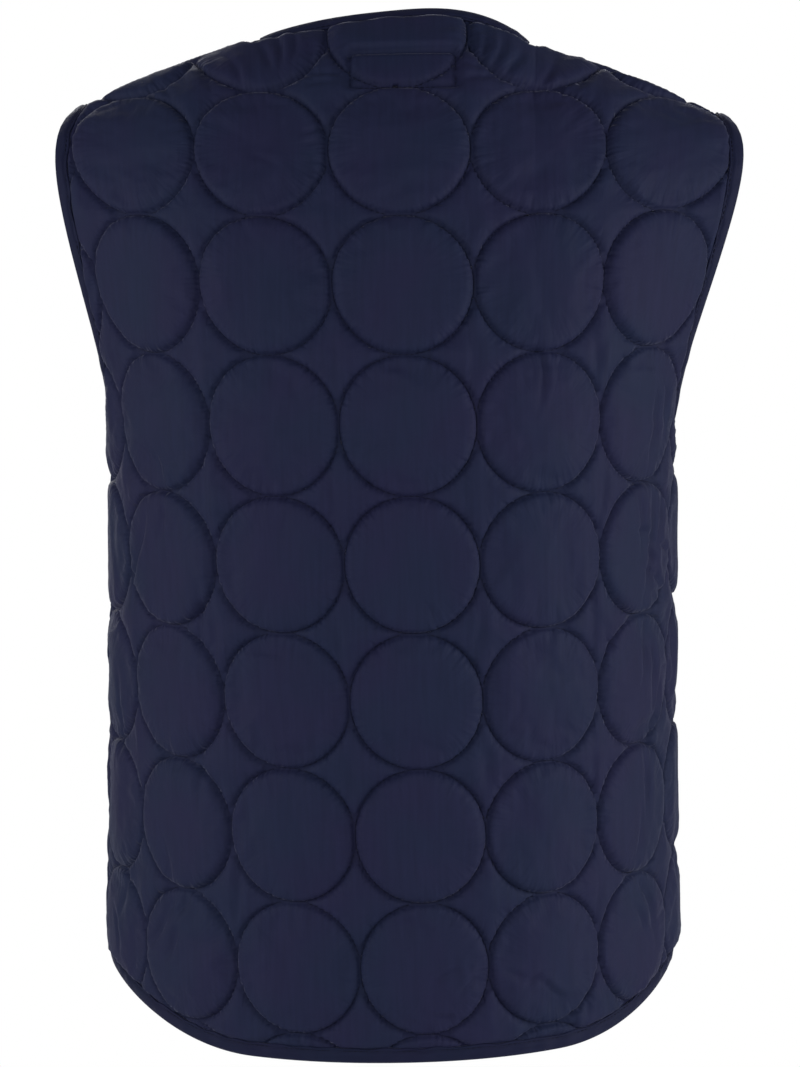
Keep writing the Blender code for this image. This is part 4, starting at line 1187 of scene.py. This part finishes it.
# a node group on the flat cloth's own UV map: mottled tone, faint slubs along the length, plain weave
def wovenCloth():
    tree = bpy.data.node_groups.new("woven_cloth", "ShaderNodeTree")
    sockets = (
        ("Tone", "INPUT", "NodeSocketColor"),
        ("Shade", "INPUT", "NodeSocketColor"),
        ("Thread", "INPUT", "NodeSocketFloat"),
        ("Color", "OUTPUT", "NodeSocketColor"),
        ("Height", "OUTPUT", "NodeSocketFloat"),
    )
    for word, way, kind in sockets:
        tree.interface.new_socket(word, in_out=way, socket_type=kind)
    nodes, links = tree.nodes, tree.links
    given, wanted = nodes.new("NodeGroupInput"), nodes.new("NodeGroupOutput")
    flat = nodes.new("ShaderNodeUVMap")
    flat.uv_map = "flat"

    def noise(scale, stretch, detail):
        sized = nodes.new("ShaderNodeVectorMath")
        sized.operation = "MULTIPLY"
        sized.inputs[1].default_value = stretch
        links.new(flat.outputs["UV"], sized.inputs[0])
        texture = nodes.new("ShaderNodeTexNoise")
        texture.inputs["Scale"].default_value = scale
        texture.inputs["Detail"].default_value = detail
        links.new(sized.outputs["Vector"], texture.inputs["Vector"])
        return texture.outputs["Fac"]

    def ramp(value, low, high, least, most):
        node = nodes.new("ShaderNodeMapRange")
        for word, number in (("From Min", low), ("From Max", high), ("To Min", least), ("To Max", most)):
            node.inputs[word].default_value = number
        links.new(value, node.inputs["Value"])
        return node.outputs["Result"]

    mottle = noise(16, (1, 1, 1), 3)
    slub = noise(1, (420, 26, 1), 2)
    mixed = nodes.new("ShaderNodeMix")
    mixed.data_type = "RGBA"
    links.new(ramp(mottle, 0.38, 0.62, 0, 1), mixed.inputs["Factor"])
    links.new(given.outputs["Tone"], mixed.inputs["A"])
    links.new(given.outputs["Shade"], mixed.inputs["B"])
    streaked = nodes.new("ShaderNodeVectorMath")
    streaked.operation = "SCALE"
    links.new(mixed.outputs["Result"], streaked.inputs[0])
    links.new(ramp(slub, 0.3, 0.7, 0.93, 1.07), streaked.inputs["Scale"])
    links.new(streaked.outputs["Vector"], wanted.inputs["Color"])
    apart = nodes.new("ShaderNodeSeparateXYZ")
    links.new(flat.outputs["UV"], apart.inputs[0])
    warp, weft = (
        mathNode(tree, "SINE", mathNode(tree, "MULTIPLY", apart.outputs[way], given.outputs["Thread"]))
        for way in ("X", "Y")
    )
    weave = mathNode(tree, "MULTIPLY", mathNode(tree, "MULTIPLY", warp, weft), 0.5)
    uneven = mathNode(tree, "MULTIPLY", slub, 1.2)
    links.new(mathNode(tree, "ADD", weave, uneven), wanted.inputs["Height"])
    return tree


clothGroup = wovenCloth()


# wrinkles that run out from a stitch line and a pinch at every stitch, in metres
pucker = {
    "wrinkles": 210.0,  # in a metre of stitching
    "wrinkleReach": 0.0075,
    "wrinkleHeight": 0.0026,
    "pinchReach": 0.0016,
    "pinchHeight": 0.00022,
}


# a node group that makes them a height, from how far along a stitch line and how far from it the cloth is
def sewnPuckers():
    tree = bpy.data.node_groups.new("sewn_puckers", "ShaderNodeTree")
    tree.interface.new_socket("Height", in_out="OUTPUT", socket_type="NodeSocketFloat")
    nodes, links = tree.nodes, tree.links
    wanted = nodes.new("NodeGroupOutput")
    sewn, flat = nodes.new("ShaderNodeUVMap"), nodes.new("ShaderNodeUVMap")
    sewn.uv_map, flat.uv_map = "sewn", "flat"
    apart, spot = nodes.new("ShaderNodeSeparateXYZ"), nodes.new("ShaderNodeSeparateXYZ")
    links.new(sewn.outputs["UV"], apart.inputs[0])
    links.new(flat.outputs["UV"], spot.inputs[0])

    along, away = apart.outputs["X"], apart.outputs["Y"]

    def times(first, second):
        return mathNode(tree, "MULTIPLY", first, second)

    def fading(wave, reach, height):
        return times(times(wave, mathNode(tree, "EXPONENT", times(away, -1 / reach))), height)

    def noise(*place):
        at = nodes.new("ShaderNodeCombineXYZ")
        for socket, value in zip(at.inputs, place):
            links.new(value, socket)
        texture = nodes.new("ShaderNodeTexNoise")
        texture.inputs["Scale"].default_value = 1
        texture.inputs["Detail"].default_value = 1
        links.new(at.outputs[0], texture.inputs["Vector"])
        return mathNode(tree, "SUBTRACT", texture.outputs["Fac"], 0.5)

    which = times(mathNode(tree, "ADD", spot.outputs["X"], spot.outputs["Y"]), 9.0)
    wrinkle = noise(times(along, pucker["wrinkles"]), times(away, 45.0), which)
    wrinkle = fading(wrinkle, pucker["wrinkleReach"], pucker["wrinkleHeight"])
    pinch = mathNode(tree, "SINE", times(along, math.tau / thread["every"]))
    pinch = fading(pinch, pucker["pinchReach"], pucker["pinchHeight"])
    links.new(mathNode(tree, "ADD", wrinkle, pinch), wanted.inputs["Height"])
    return tree


puckerGroup = sewnPuckers()


# cloth: colours of its tone and shade, roughness, gloss, sheen, threads in a metre, depth of the weave
def clothMaterial(name, look):
    material = bpy.data.materials.new(name)
    material.use_nodes = True
    nodes, links = material.node_tree.nodes, material.node_tree.links
    shader = nodes["Principled BSDF"]
    shader.inputs["Roughness"].default_value = look["roughness"]
    shader.inputs["Specular IOR Level"].default_value = look["gloss"]
    shader.inputs["Sheen Weight"].default_value = look["sheen"]
    shader.inputs["Sheen Roughness"].default_value = look["sheenRoughness"]
    shader.inputs["Sheen Tint"].default_value = (*look["sheenTint"], 1)
    woven = nodes.new("ShaderNodeGroup")
    woven.node_tree = clothGroup
    woven.inputs["Tone"].default_value = (*look["tone"], 1)
    woven.inputs["Shade"].default_value = (*look["shade"], 1)
    woven.inputs["Thread"].default_value = math.tau * look["threads"]
    bump = nodes.new("ShaderNodeBump")
    bump.inputs["Strength"].default_value = look["bump"]
    bump.inputs["Distance"].default_value = 0.0002
    links.new(woven.outputs["Height"], bump.inputs["Height"])
    links.new(woven.outputs["Color"], shader.inputs["Base Color"])
    links.new(bump.outputs["Normal"], shader.inputs["Normal"])
    if look["puckered"]:
        gathered = nodes.new("ShaderNodeGroup")
        gathered.node_tree = puckerGroup
        folds = nodes.new("ShaderNodeBump")
        folds.inputs["Distance"].default_value = 1.0
        links.new(gathered.outputs["Height"], folds.inputs["Height"])
        links.new(folds.outputs["Normal"], bump.inputs["Normal"])
    return material


# one colour all over
def plainMaterial(name, colour, roughness, metallic, gloss):
    material = bpy.data.materials.new(name)
    material.use_nodes = True
    shader = material.node_tree.nodes["Principled BSDF"]
    shader.inputs["Base Color"].default_value = (*colour, 1)
    shader.inputs["Roughness"].default_value = roughness
    shader.inputs["Metallic"].default_value = metallic
    shader.inputs["Specular IOR Level"].default_value = gloss
    return material


shellLook = {
    "tone": (0.0115, 0.0155, 0.0400),
    "shade": (0.0133, 0.0143, 0.0408),
    "roughness": 0.58,
    "gloss": 0.055,
    "sheen": 0.15,
    "sheenRoughness": 0.24,
    "sheenTint": (0.62, 0.64, 0.86),
    "threads": 2400,
    "bump": 0.25,
    "puckered": True,
}
bandLook = dict(shellLook, tone=(0.0086, 0.0114, 0.0310), shade=(0.0098, 0.0108, 0.0316), puckered=False)
shellCloth = clothMaterial("navy_shell_nylon", shellLook)
bandCloth = clothMaterial("navy_binding_tape", bandLook)
threadYarn = plainMaterial("navy_thread", (0.005, 0.006, 0.016), 0.7, 0.0, 0.1)
studPaint = plainMaterial("navy_stud_paint", (0.010, 0.011, 0.020), 0.35, 0.6, 0.5)

for word, piece in pieces.items():
    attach(piece, "root")
    if word in panels:
        piece.data.materials.append(shellCloth)
        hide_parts(panels[word]["node"])
    elif word in bindings:
        piece.data.materials.append(bandCloth)
        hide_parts(word)
    elif word.startswith("stud"):
        piece.data.materials.append(studPaint)
        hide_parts("stud_" + word[4:])
    else:
        piece.data.materials.append(threadYarn)
print("cloth, tape, thread and studs coloured")

# camera at the photograph's angle, from behind and a little above
camera = {"rise": 0.12, "distance": 2.1, "aim": (-0.0051, 0.0, -0.2892), "lens": 108.2}
eye = bpy.data.objects.new("camera", bpy.data.cameras.new("camera"))
scene.collection.objects.link(eye)
eye.data.lens = camera["lens"]
eye.location = (
    camera["aim"][0],
    camera["distance"] * math.cos(camera["rise"]),
    camera["aim"][2] + camera["distance"] * math.sin(camera["rise"]),
)
eye.rotation_euler = (math.pi / 2 - camera["rise"], 0, math.pi)
scene.camera = eye

# white room, seen white but lit more softly than that, and broad soft lights on all sides
roomLight = 0.25
world = bpy.data.worlds.new("white_room")
world.use_nodes = True
room = world.node_tree
seen = room.nodes.new("ShaderNodeLightPath")
bright = room.nodes.new("ShaderNodeMapRange")
bright.inputs["To Min"].default_value = roomLight
room.links.new(seen.outputs["Is Camera Ray"], bright.inputs["Value"])
room.links.new(bright.outputs["Result"], room.nodes["Background"].inputs["Strength"])
room.nodes["Background"].inputs["Color"].default_value = (1, 1, 1, 1)
scene.world = world
scene.view_settings.view_transform = "Standard"
lamps = (
    {"name": "left_softbox", "at": (2.2, 0.5, -0.2), "size": 1.8, "power": 29},
    {"name": "right_softbox", "at": (-2.2, 0.5, -0.2), "size": 1.8, "power": 44},
    {"name": "back_softbox", "at": (0.3, 2.8, 0.2), "size": 2.4, "power": 43},
    {"name": "front_softbox", "at": (0.4, -2.6, 0.4), "size": 2.0, "power": 45},
)
for lamp in lamps:
    light = bpy.data.lights.new(lamp["name"], "AREA")
    light.size = lamp["size"]
    light.energy = lamp["power"]
    holder = bpy.data.objects.new(lamp["name"], light)
    holder.location = lamp["at"]
    toward = Vector((0, 0, -0.3)) - holder.location
    holder.rotation_euler = toward.to_track_quat("-Z", "Y").to_euler()
    scene.collection.objects.link(holder)
# pale floor at the height where a wearer would stand
floorDrop, floorHalf = -1.42, 1.5
corners = np.array([(-1, -1, 0), (1, -1, 0), (1, 1, 0), (-1, 1, 0)]) * floorHalf + (0, 0, floorDrop)
floor = meshObject("floor", corners, np.array([[0, 1, 2, 3]]), smooth=False)
floor.data.materials.append(plainMaterial("pale_floor", (0.80, 0.80, 0.79), 0.8, 0.0, 0.2))
